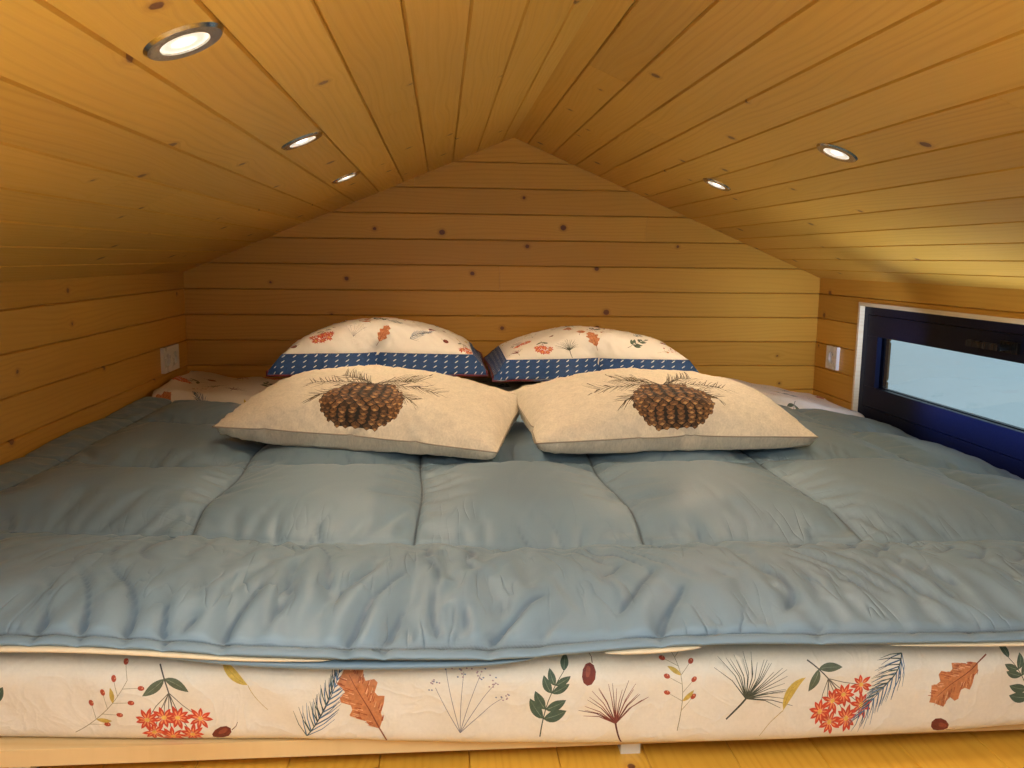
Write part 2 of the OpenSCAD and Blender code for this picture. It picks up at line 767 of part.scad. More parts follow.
// A stuffed bag w by d and h high in its middle, with the share low of its height under its seam.
// Its border hangs out and down from the seam by the pairs side, front and back
module bag(w, d, h, low, side, front, back) {
    n = 14;
    rim_t = 6;
    bordered = side[0] > 0;
    xs = concat(bordered ? [-w / 2 - side[0]] : [], steps(-w / 2, w / 2, n), bordered ? [w / 2 + side[0]] : []);
    ys = concat(bordered ? [-d / 2 - front[0]] : [], steps(-d / 2, d / 2, n), bordered ? [d / 2 + back[0]] : []);
    function fat(x, y) =
        let (a = min(1, abs(2 * x / w)), b = min(1, abs(2 * y / d)))
        pow((1 - pow(a, 2.6)) * (1 - pow(b, 2.6)), 0.55);
    function drop(x, y) =
        max(abs(x) > w / 2 ? side[1] : 0, y < -d / 2 ? front[1] : 0, y > d / 2 ? back[1] : 0);
    function pull(c) = bordered ? 1 : 1 - 0.05 * (1 - c * c);
    function point(x, y, reach) =
        [x * pull(2 * y / d), y * pull(2 * x / w), (reach - sign(reach) * rim_t / 2) * fat(x, y)
         + sign(reach) * rim_t / 2 - drop(x, y)];
    under = [for (y = ys) for (x = xs) point(x, y, -h * low)];
    over = [for (y = ys) for (x = xs) point(x, y, h * (1 - low))];
    sheet_mesh(under, over, len(xs), len(ys));
}

// Cuts a bag flat where it lies on the bedding at z
module lying(x, y, z, reach) {
    difference() {
        children();
        span([x - reach, y - reach, z - reach], [x + reach, y + reach, z]);
    }
}

pillow_y = gable_y - pillow_from_gable;
pillow_press = 18;
cushion_press = 14;
pillow_z = mattress_top + duvet_head_t + 3 * rest_gap;

module pillow(x, h) {
    side_hang = 50;
    front_hang = 70;
    back_hang = 20;
    color(print_cream) lying(x, pillow_y, pillow_z, pillow_w)
        translate([x, pillow_y, pillow_z + h * pillow_seam - pillow_press])
            bag(pillow_w, pillow_d, h, pillow_seam,
                pillow_border * [cos(side_hang), sin(side_hang)],
                pillow_border * [cos(front_hang), sin(front_hang)],
                pillow_border * [cos(back_hang), sin(back_hang)]);
}

module left_pillow() { pillow(left_pillow_x, left_pillow_h); }

module right_pillow() { pillow(right_pillow_x, right_pillow_h); }

// A cushion rests on the highest puff beneath it, at share k of the full height
function cushion_z(k) = bedding_top + k * puff_h + rest_gap;

module cushion(x, from_gable, k, roll, turn) {
    y = gable_y - from_gable;
    z = cushion_z(k);
    centre_z = z + (cushion_h * cos(cushion_lean) + cushion_d / 2 * sin(cushion_lean)) / 2 - cushion_press;
    color("#ece4d8") lying(x, y, z, cushion_w)
        translate([x, y, centre_z]) rotate([0, 0, turn]) rotate([0, roll, 0]) rotate([cushion_lean, 0, 0])
            bag(cushion_w, cushion_d, cushion_h, 0.5, [0, 0], [0, 0], [0, 0]);
}

module left_cushion() { cushion(left_cushion_x, left_cushion_from_gable, 1, 2.5, left_cushion_turn); }

module right_cushion() { cushion(right_cushion_x, right_cushion_from_gable, 1, 0, right_cushion_turn); }

floor_joists();
floor_boards();
left_wall_studs();
left_wall_plates();
left_wall_lining();
left_wall_cladding();
right_wall_studs();
right_wall_plates();
right_wall_lining();
right_wall_cladding();
gable_studs();
gable_plates();
gable_lining();
gable_cladding();
left_ceiling_lining();
right_ceiling_lining();
left_rafters();
right_rafters();
ridge_board();
left_roof_deck();
right_roof_deck();
left_roof_sheet();
right_roof_sheet();
ridge_cap();
left_fascia();
right_fascia();
left_barge_board();
right_barge_board();
window_frame();
window_sash();
window_glass();
window_handle();
window_trim();
window_sill();
lamp_rings();
lamp_lenses();
left_socket();
right_socket();
bed_bearers();
bed_slats();
mattress();
duvet();
quilt();
left_pillow();
right_pillow();
left_cushion();
right_cushion();
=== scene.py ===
import bmesh
import bpy
import math
import numpy as np
from mathutils import Matrix, Vector, noise
from mathutils.bvhtree import BVHTree
from mathutils.geometry import delaunay_2d_cdt


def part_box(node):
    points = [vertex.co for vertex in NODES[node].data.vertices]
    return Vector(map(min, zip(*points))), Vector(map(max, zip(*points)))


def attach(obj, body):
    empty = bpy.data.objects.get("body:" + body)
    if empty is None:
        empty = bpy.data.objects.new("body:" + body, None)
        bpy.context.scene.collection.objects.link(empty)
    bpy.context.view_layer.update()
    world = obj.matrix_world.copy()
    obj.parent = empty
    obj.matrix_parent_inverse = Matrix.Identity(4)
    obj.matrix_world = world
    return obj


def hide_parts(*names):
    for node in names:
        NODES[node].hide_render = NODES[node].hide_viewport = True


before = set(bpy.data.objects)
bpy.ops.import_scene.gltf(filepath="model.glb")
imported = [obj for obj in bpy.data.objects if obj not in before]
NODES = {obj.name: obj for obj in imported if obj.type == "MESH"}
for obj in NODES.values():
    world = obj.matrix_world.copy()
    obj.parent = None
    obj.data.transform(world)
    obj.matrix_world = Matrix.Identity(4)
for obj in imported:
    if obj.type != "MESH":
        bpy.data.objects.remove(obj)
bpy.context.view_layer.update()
scene = bpy.context.scene
scene.view_settings.view_transform = "Standard"

# Planes of the room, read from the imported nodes, in metres
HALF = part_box("gable_lining")[1][0]
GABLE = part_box("gable_lining")[0][1]
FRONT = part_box("floor_boards")[0][1]
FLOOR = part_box("floor_boards")[1][2]
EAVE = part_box("left_wall_lining")[1][2]
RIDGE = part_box("gable_lining")[1][2]
SLOPE = math.atan2(RIDGE - EAVE, HALF)
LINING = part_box("gable_lining")[1][1] - GABLE
LAMP_PITCH, LAMP_X = 0.7, 0.495


# Materials

class Paint:
    """Builds one node material."""

    def __init__(self, name):
        self.mat = bpy.data.materials.new(name)
        self.mat.use_nodes = True
        self.tree = self.mat.node_tree
        self.tree.nodes.clear()
        self.out = self.tree.nodes.new("ShaderNodeOutputMaterial")

    def put(self, socket, value):
        if value is None:
            return
        if isinstance(value, bpy.types.NodeSocket):
            self.tree.links.new(value, socket)
        elif isinstance(value, (tuple, list)) and socket.type == "RGBA" and len(value) == 3:
            socket.default_value = (*value, 1.0)
        else:
            socket.default_value = value

    def add(self, kind, out=0, ins=(), **props):
        node = self.tree.nodes.new("ShaderNode" + kind)
        for key, value in props.items():
            setattr(node, key, value)
        for key, value in dict(ins).items():
            self.put(node.inputs[key], value)
        return node.outputs[out]

    def math(self, op, a, b=None, clamp=False):
        return self.add("Math", ins={0: a, 1: b}, operation=op, use_clamp=clamp)

    def mul(self, a, b, clamp=False):
        return self.math("MULTIPLY", a, b, clamp)

    def plus(self, a, b, clamp=False):
        return self.math("ADD", a, b, clamp)

    def minus(self, a, b, clamp=False):
        return self.math("SUBTRACT", a, b, clamp)

    def stretch(self, vector, factors):
        return self.add("VectorMath", ins={0: vector, 1: factors}, operation="MULTIPLY")

    def xyz(self, x, y, z):
        return self.add("CombineXYZ", ins={0: x, 1: y, 2: z})

    def split(self, vector):
        return self.add("SeparateXYZ", ins={0: vector}).node.outputs

    def grey(self, level):
        return self.add("CombineColor", ins={0: level, 1: level, 2: level})

    def attribute(self, name, out):
        return self.add("Attribute", out=out, attribute_name=name)

    def place(self):
        """The point in the object's own space."""
        return self.add("TexCoord", out=3)

    def mix(self, fac, a, b, blend="MIX"):
        node = self.tree.nodes.new("ShaderNodeMix")
        node.data_type = "RGBA"
        node.blend_type = blend
        self.put(node.inputs[0], fac)
        self.put(node.inputs[6], a)
        self.put(node.inputs[7], b)
        return node.outputs[2]

    def ramp(self, fac, *stops):
        node = self.tree.nodes.new("ShaderNodeValToRGB")
        self.put(node.inputs[0], fac)
        elements = node.color_ramp.elements
        while len(elements) < len(stops):
            elements.new(0.5)
        for element, (pos, color) in zip(elements, stops):
            element.position = pos
            element.color = (*color, 1.0)
        return node.outputs[0]

    def span(self, value, lo, hi, to_lo=0.0, to_hi=1.0):
        return self.add("MapRange", ins={0: value, 1: lo, 2: hi, 3: to_lo, 4: to_hi})

    def smooth(self, value, lo, hi, to_lo=0.0, to_hi=1.0):
        return self.add("MapRange", ins={0: value, 1: lo, 2: hi, 3: to_lo, 4: to_hi},
                        interpolation_type="SMOOTHSTEP")

    def noise(self, vector, scale, detail=2.0, rough=0.5, distort=0.0, out=0):
        return self.add("TexNoise", out=out, ins={"Vector": vector, "Scale": scale, "Detail": detail,
                                                  "Roughness": rough, "Distortion": distort})

    def bump(self, height, strength, distance, normal=None):
        return self.add("Bump", ins={"Height": height, "Strength": strength, "Distance": distance,
                                     "Normal": normal})

    def finish(self, **ins):
        shader = self.tree.nodes.new("ShaderNodeBsdfPrincipled")
        for key, value in ins.items():
            self.put(shader.inputs[key.replace("_", " ")], value)
        self.tree.links.new(shader.outputs[0], self.out.inputs[0])
        return self.mat


def scaled(color, factor):
    return tuple(v * factor for v in color)


KNOT_CELLS = (2.3, 10.5, 3.0)
KNOT_DARK = (0.10, 0.035, 0.012)
RINGS = 170.0 / 2.2


def wood(name, pale, mid, dark, rough=(0.38, 0.55), coat=0.0, knot_share=0.5, contrast=1.0, coords=None):
    """Sawn softwood: rings drawn out along the board, knots that bend them, and fine fibres."""
    p = Paint(name)
    board, tone = coords(p) if coords else (p.attribute("wood", 1), p.attribute("tone", 2))
    along, across, deep = p.split(board)
    # Knots: one cell point for each stretch of board
    cells = p.tree.nodes.new("ShaderNodeTexVoronoi")
    cells.voronoi_dimensions = "2D"
    p.put(cells.inputs["Vector"], p.stretch(board, KNOT_CELLS))
    cells.inputs["Scale"].default_value = 1.0
    cells.inputs["Randomness"].default_value = 0.85
    spot = p.split(cells.outputs["Position"])
    hue = p.add("SeparateColor", ins={0: cells.outputs["Color"]}).node.outputs
    dx = p.minus(along, p.math("DIVIDE", spot[0], KNOT_CELLS[0]))
    dy = p.minus(across, p.math("DIVIDE", spot[1], KNOT_CELLS[1]))
    wobble = p.mul(p.minus(p.noise(board, 160.0, 2.0), 0.5), 0.004)
    dist = p.plus(p.math("SQRT", p.plus(p.mul(p.mul(dx, dx), 0.8), p.mul(dy, dy))), wobble)
    here = p.math("LESS_THAN", hue[1], knot_share)
    off = p.minus(dist, p.span(hue[0], 0.0, 1.0, 0.003, 0.0095))
    knot = p.mul(p.smooth(off, 0.0010, -0.0010), here)
    halo = p.mul(p.smooth(off, 0.010, 0.0), here)
    near = p.mul(p.math("EXPONENT", p.mul(p.mul(dist, dist), -1800.0)), here)
    push = p.mul(near, p.mul(p.math("SIGN", dy), -0.011))
    # Rings, wandering along the board
    wander = p.mul(p.minus(p.noise(p.stretch(board, (0.9, 5.0, 2.0)), 1.6, 2.0, 0.45), 0.5), 0.085)
    line = p.plus(p.plus(across, wander), push)
    wave = p.math("SINE", p.mul(line, RINGS * 2 * math.pi))
    late = p.math("POWER", p.plus(p.mul(wave, 0.5), 0.5), 2.2)
    fade = p.noise(p.stretch(board, (1.2, 22.0, 1.0)), 1.0, 2.0)
    lined = p.xyz(along, line, deep)
    streak = p.noise(p.stretch(lined, (3.0, 240.0, 1.0)), 1.0, 3.0, 0.6)
    fibre = p.noise(p.stretch(lined, (14.0, 1500.0, 1.0)), 1.0, 2.0, 0.6)
    ringed = p.mul(late, p.span(fade, 0.3, 0.75, 0.15, 0.85))
    depth = 0.55 * contrast
    level = p.plus(p.mul(ringed, depth), p.mul(p.minus(streak, 0.5), depth), clamp=True)
    color = p.ramp(level, (0.0, pale), (0.45, mid), (1.0, dark))
    color = p.mix(p.mul(p.minus(fibre, 0.5), 0.5 * contrast, clamp=True), color, dark)
    color = p.mix(p.mul(halo, 0.45), color, dark)
    inner = p.mix(p.noise(board, 420.0, 2.0), KNOT_DARK, scaled(KNOT_DARK, 2.6))
    color = p.mix(knot, color, inner)
    shade = p.span(tone, 0.0, 1.0, 0.86, 1.10)
    green, blue = p.math("POWER", shade, 1.15), p.math("POWER", shade, 1.5)
    warm = p.add("CombineColor", ins={0: shade, 1: green, 2: blue})
    color = p.mix(1.0, color, warm, "MULTIPLY")
    height = p.plus(p.mul(level, -0.5), p.plus(p.mul(fibre, 0.5), p.mul(knot, 0.6)))
    return p.finish(Base_Color=color, Roughness=p.span(p.plus(streak, p.mul(fibre, 0.5)), 0.3, 1.2, *rough),
                    Normal=p.bump(height, 0.25, 0.0006), Coat_Weight=coat, Coat_Roughness=0.28)


# Meshes and boards

def ease(t):
    t = np.clip(t, 0.0, 1.0)
    return t * t * (3 - 2 * t)


def link(name, mesh, mat, replaces=()):
    obj = bpy.data.objects.new(name, mesh)
    scene.collection.objects.link(obj)
    mesh.materials.append(mat)
    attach(obj, "root")
    if replaces:
        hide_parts(*replaces)
    return obj


def mesh_from(name, verts, faces, smooth=False):
    mesh = bpy.data.meshes.new(name)
    mesh.from_pydata([tuple(v) for v in verts], [], [tuple(f) for f in faces])
    mesh.update()
    if smooth:
        mesh.shade_smooth()
    return mesh


def store(mesh, name, values, kind="FLOAT_VECTOR", field="vector", domain="POINT"):
    layer = mesh.attributes.new(name, kind, domain)
    layer.data.foreach_set(field, np.array(values, np.float32).ravel())


def rework(mesh, *steps):
    bm = bmesh.new()
    bm.from_mesh(mesh)
    for step in steps:
        step(bm)
    bm.to_mesh(mesh)
    bm.free()


def join_rims(bm):
    rims = [v for v in bm.verts if len(v.link_edges) and v.is_boundary]
    bmesh.ops.remove_doubles(bm, verts=rims, dist=1e-5)


def close_rims(bm):
    bmesh.ops.holes_fill(bm, edges=[e for e in bm.edges if e.is_boundary], sides=0)


def face_out(bm):
    bmesh.ops.recalc_face_normals(bm, faces=bm.faces)


def clip_solid(polys, point, normal):
    """A convex solid, as a list of polygons, cut to the side of the plane that normal points away from."""
    kept, rim = [], []
    for poly in polys:
        side = [(v - point).dot(normal) for v in poly]
        new = []
        for i, v in enumerate(poly):
            j = (i + 1) % len(poly)
            if side[i] <= 1e-7:
                new.append(v)
            if (side[i] < -1e-7 and side[j] > 1e-7) or (side[i] > 1e-7 and side[j] < -1e-7):
                cut = v.lerp(poly[j], side[i] / (side[i] - side[j]))
                new.append(cut)
                rim.append(cut)
            elif abs(side[i]) <= 1e-7:
                rim.append(v)
        if len(new) >= 3:
            kept.append(new)
    if len(kept) < len(polys) or rim:
        flat = []
        for v in rim:
            if all((v - w).length > 1e-6 for w in flat):
                flat.append(v)
        if len(flat) >= 3:
            middle = sum(flat, Vector()) / len(flat)
            u = (flat[0] - middle).normalized()
            w = normal.cross(u)
            flat.sort(key=lambda v: math.atan2((v - middle).dot(w), (v - middle).dot(u)))
            if all(abs((v - point).dot(normal)) < 1e-6 for v in flat):
                kept.append(flat)
    return kept


class Boards:
    """Collects boards as convex solids, with the wood coordinates and tone of each."""

    def __init__(self, seed):
        self.rng = np.random.default_rng(seed)
        self.verts, self.faces, self.wood, self.tone = [], [], [], []

    def board(self, origin, along, across, out, length, width, thick, cuts, chamfer=0.0026, groove=0.0045,
              profile=None):
        """One board: origin is its corner on the visible face, out the way that face looks."""
        if profile is None:
            gap = 0.0003
            profile = [(gap, -thick), (gap, -groove), (gap + chamfer, 0.0), (width - gap - chamfer, 0.0),
                       (width - gap, -groove), (width - gap, -thick)]
        ends = [[origin + along * s + across * c + out * d for c, d in profile] for s in (0.0, length)]
        n = len(profile)
        polys = [ends[0][::-1], ends[1]]
        for i in range(n):
            j = (i + 1) % n
            polys.append([ends[0][i], ends[0][j], ends[1][j], ends[1][i]])
        for point, normal in cuts:
            polys = clip_solid(polys, point, normal)
        if not polys:
            return
        shift = self.rng.uniform(-40, 40, 3)
        tone = float(np.clip(self.rng.normal(0.5, 0.22), 0, 1))
        flip = -1 if self.rng.random() < 0.5 else 1
        index = {}
        for poly in polys:
            face = []
            for v in poly:
                key = (round(v.x, 6), round(v.y, 6), round(v.z, 6))
                if key not in index:
                    index[key] = len(self.verts)
                    self.verts.append(v)
                    rel = v - origin
                    self.wood.append((flip * rel.dot(along) + shift[0], rel.dot(across) + shift[1],
                                      rel.dot(out) + shift[2] * 0.05))
                    self.tone.append(tone)
                if index[key] not in face:
                    face.append(index[key])
            if len(face) >= 3:
                self.faces.append(face)

    def make(self, name, mat, replaces):
        mesh = mesh_from(name, self.verts, self.faces)
        store(mesh, "wood", self.wood)
        store(mesh, "tone", self.tone, "FLOAT", "value")
        rework(mesh, face_out)
        link(name, mesh, mat, replaces)


X, Y, Z = Vector((1, 0, 0)), Vector((0, 1, 0)), Vector((0, 0, 1))
# Visible height of a wall board, the lower edge of one course, and the gap at a board's ends
COVER = 0.0883
COURSE = EAVE + 0.0325
END_GAP = 0.0002
CEILING_COVER, CEILING_GAP = 0.0905, 0.0003
PLANK = 0.116


def level_cut(z, normal):
    return Vector((0, 0, z)), normal


def around(hole, z, cover, start, end, cuts):
    """The stretches of one board, with their cuts, that a hole in the wall leaves."""
    if hole is None or z + cover <= hole[2] or z >= hole[3]:
        return [(start, end, cuts)]
    left = [(start, hole[0], cuts), (hole[1], end, cuts)]
    if z < hole[2]:
        left.append((hole[0], hole[1], cuts + [level_cut(hole[2], Z)]))
    if z + cover > hole[3]:
        left.append((hole[0], hole[1], cuts + [level_cut(hole[3], -Z)]))
    return left


def courses(z0, z1):
    """Lower edges of the wall boards that show between two heights."""
    first = COURSE - COVER * math.ceil((COURSE - z0) / COVER)
    return [first + i * COVER for i in range(int((z1 - first) / COVER) + 1)]


def slope_cut(side, lift):
    """The plane of a ceiling slope, lifted square to itself."""
    normal = Vector((side * math.sin(SLOPE), 0, math.cos(SLOPE)))
    return Vector((0, 0, RIDGE)) + normal * lift, normal


def line_gable(mat):
    b = Boards(11)
    for z in courses(FLOOR, RIDGE):
        cuts = [slope_cut(1, 0.0), slope_cut(-1, 0.0), level_cut(FLOOR, -Z)]
        joints = sorted(b.rng.uniform(-0.7, 0.7, 1)) if b.rng.random() < 0.35 else []
        edges = [-HALF] + list(joints) + [HALF]
        for x0, x1 in zip(edges, edges[1:]):
            b.board(Vector((x0 + END_GAP, GABLE, z)), X, Z, -Y, x1 - x0 - 2 * END_GAP, COVER, LINING, cuts)
    b.make("gable_boards", mat, ["gable_lining"])


def line_side(side, mat, hole=None):
    b = Boards(21 + side)
    x = side * HALF
    y1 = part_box("left_wall_lining")[1][1]
    top = (Vector((x, 0, EAVE)), slope_cut(side, 0.0)[1])
    for z in courses(FLOOR, EAVE):
        for y0, ye, cuts in around(hole, z, COVER, FRONT, y1, [top, level_cut(FLOOR, -Z)]):
            start = Vector((x, y0 + END_GAP, z))
            b.board(start, Y, Z, -side * X, ye - y0 - 2 * END_GAP, COVER, LINING, cuts)
    node = "right_wall_lining" if side > 0 else "left_wall_lining"
    b.make(node.replace("lining", "boards"), mat, [node])


def line_ceiling(side, mat, phase, joints):
    b = Boards(31 + side)
    down = Vector((side * math.cos(SLOPE), 0, -math.sin(SLOPE)))
    out = Vector((side * math.sin(SLOPE), 0, math.cos(SLOPE)))
    run = (HALF + LINING) / math.cos(SLOPE)
    y1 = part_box("left_wall_lining")[1][1]
    cuts = [(Vector((0, 0, 0)), -side * X), (Vector((side * (HALF + LINING), 0, 0)), side * X)]
    s = phase - CEILING_COVER
    row = 0
    while s < run:
        ends = sorted(y for r, y in joints if r == row)
        ys = [FRONT] + ends + [y1]
        for y0, ye in zip(ys, ys[1:]):
            start = Vector((0, y0 + CEILING_GAP, RIDGE)) + down * s
            b.board(start, Y, down, -out, ye - y0 - 2 * CEILING_GAP, CEILING_COVER, LINING, cuts)
        s += CEILING_COVER
        row += 1
    node = "right_ceiling_lining" if side > 0 else "left_ceiling_lining"
    b.make(node.replace("lining", "boards"), mat, [node])


def lay_floor(mat):
    b = Boards(41)
    lo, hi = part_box("floor_boards")
    n = math.ceil((hi[0] - lo[0]) / PLANK)
    x = -n * PLANK / 2 + 0.02
    while x < hi[0]:
        cuts = [(Vector((lo[0], 0, 0)), -X), (Vector((hi[0], 0, 0)), X)]
        b.board(Vector((x, lo[1], FLOOR)), Y, X, Z, hi[1] - lo[1], PLANK, hi[2] - lo[2], cuts,
                chamfer=0.0010, groove=0.0012)
        x += PLANK
    b.make("floor_planks", mat, ["floor_boards"])


lining_wood = wood("lining_spruce", (0.65, 0.345, 0.050), (0.56, 0.275, 0.032), (0.36, 0.148, 0.014),
                   coat=0.10, contrast=0.75)
floor_wood = wood("floor_pine", (0.80, 0.46, 0.060), (0.72, 0.37, 0.035), (0.52, 0.22, 0.016),
                  rough=(0.25, 0.4), coat=0.3, knot_share=0.3)

trim_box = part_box("window_trim")
hole = (trim_box[0][1], trim_box[1][1], trim_box[0][2], trim_box[1][2])
line_gable(lining_wood)
line_side(-1, lining_wood)
line_side(1, lining_wood, hole)
rng = np.random.default_rng(5)
for side, phase, count in ((-1, 0.045, 9), (1, 0.053, 7)):
    joints = [(int(r), float(FRONT + y))
              for r, y in zip(rng.integers(1, 14, count), rng.uniform(0.5, 2.1, count))]
    line_ceiling(side, lining_wood, phase, joints)
lay_floor(floor_wood)


# Soft goods: shared tools

def srgb(text):
    """A linear colour from its six hexadecimal digits."""
    parts = [int(text[i:i + 2], 16) / 255 for i in (0, 2, 4)]
    return tuple(v / 12.92 if v <= 0.04045 else ((v + 0.055) / 1.055) ** 2.4 for v in parts)


class Sheet:
    """A surface through a grid of points, read anywhere between them by smooth curves."""

    def __init__(self, us, vs, points):
        self.us, self.vs, self.points = np.asarray(us), np.asarray(vs), np.asarray(points)

    @staticmethod
    def weights(grid, t):
        i = np.clip(np.searchsorted(grid, t, side="right") - 1, 0, len(grid) - 2)
        f = np.clip((t - grid[i]) / (grid[i + 1] - grid[i]), 0, 1)
        ids = np.clip(np.stack([i - 1, i, i + 1, i + 2]), 0, len(grid) - 1)
        w = np.stack([-f + 2 * f ** 2 - f ** 3, 2 - 5 * f ** 2 + 3 * f ** 3,
                      f + 4 * f ** 2 - 3 * f ** 3, f ** 3 - f ** 2]) / 2
        return ids, w

    def at(self, u, v):
        iu, wu = self.weights(self.us, np.asarray(u, float))
        iv, wv = self.weights(self.vs, np.asarray(v, float))
        out = np.zeros((len(u), 3))
        for a in range(4):
            for b in range(4):
                out += (wv[a] * wu[b])[:, None] * self.points[iv[a], iu[b]]
        return out


def grid_faces(nx, ny, flip=False):
    ids = np.arange(nx * ny).reshape(ny, nx)
    quads = np.stack([ids[:-1, :-1], ids[:-1, 1:], ids[1:, 1:], ids[1:, :-1]], -1).reshape(-1, 4)
    return quads[:, ::-1] if flip else quads


def run_cloth(verts, faces, pinned, press, shrink, bend, frames=20, shrink_weights=None):
    """Points after a short cloth simulation under pressure, without gravity."""
    mesh = mesh_from("cloth_run", verts, faces)
    obj = bpy.data.objects.new("cloth_run", mesh)
    scene.collection.objects.link(obj)
    mod = obj.modifiers.new("cloth", "CLOTH")
    cloth = mod.settings
    cloth.quality, cloth.mass = 5, 0.2
    cloth.tension_stiffness = cloth.compression_stiffness = 15
    cloth.shear_stiffness, cloth.bending_stiffness = 5, bend
    cloth.use_pressure, cloth.uniform_pressure_force = True, press
    cloth.effector_weights.gravity = 0
    if len(pinned):
        group = obj.vertex_groups.new(name="pin")
        group.add([int(i) for i in pinned], 1.0, "REPLACE")
        cloth.vertex_group_mass = "pin"
    if shrink_weights is not None:
        group = obj.vertex_groups.new(name="shrink")
        steps = np.round(shrink_weights * 10).astype(int)
        for level in np.unique(steps):
            group.add([int(i) for i in np.nonzero(steps == level)[0]], level / 10, "REPLACE")
        cloth.vertex_group_shrink = "shrink"
    cloth.shrink_min, cloth.shrink_max = shrink
    mod.collision_settings.use_collision = False
    mod.point_cache.frame_start, mod.point_cache.frame_end = 1, frames
    for frame_number in range(1, frames + 1):
        scene.frame_set(frame_number)
    shaped = obj.evaluated_get(bpy.context.evaluated_depsgraph_get()).to_mesh()
    out = np.empty(len(verts) * 3, np.float32)
    shaped.vertices.foreach_get("co", out)
    scene.frame_set(1)
    bpy.data.objects.remove(obj)
    bpy.data.meshes.remove(mesh)
    return out.reshape(-1, 3).astype(float)


# The way up on the flat cloth, in radians
UP = 1.57


def heading(angle):
    return np.array([math.cos(angle), math.sin(angle)])


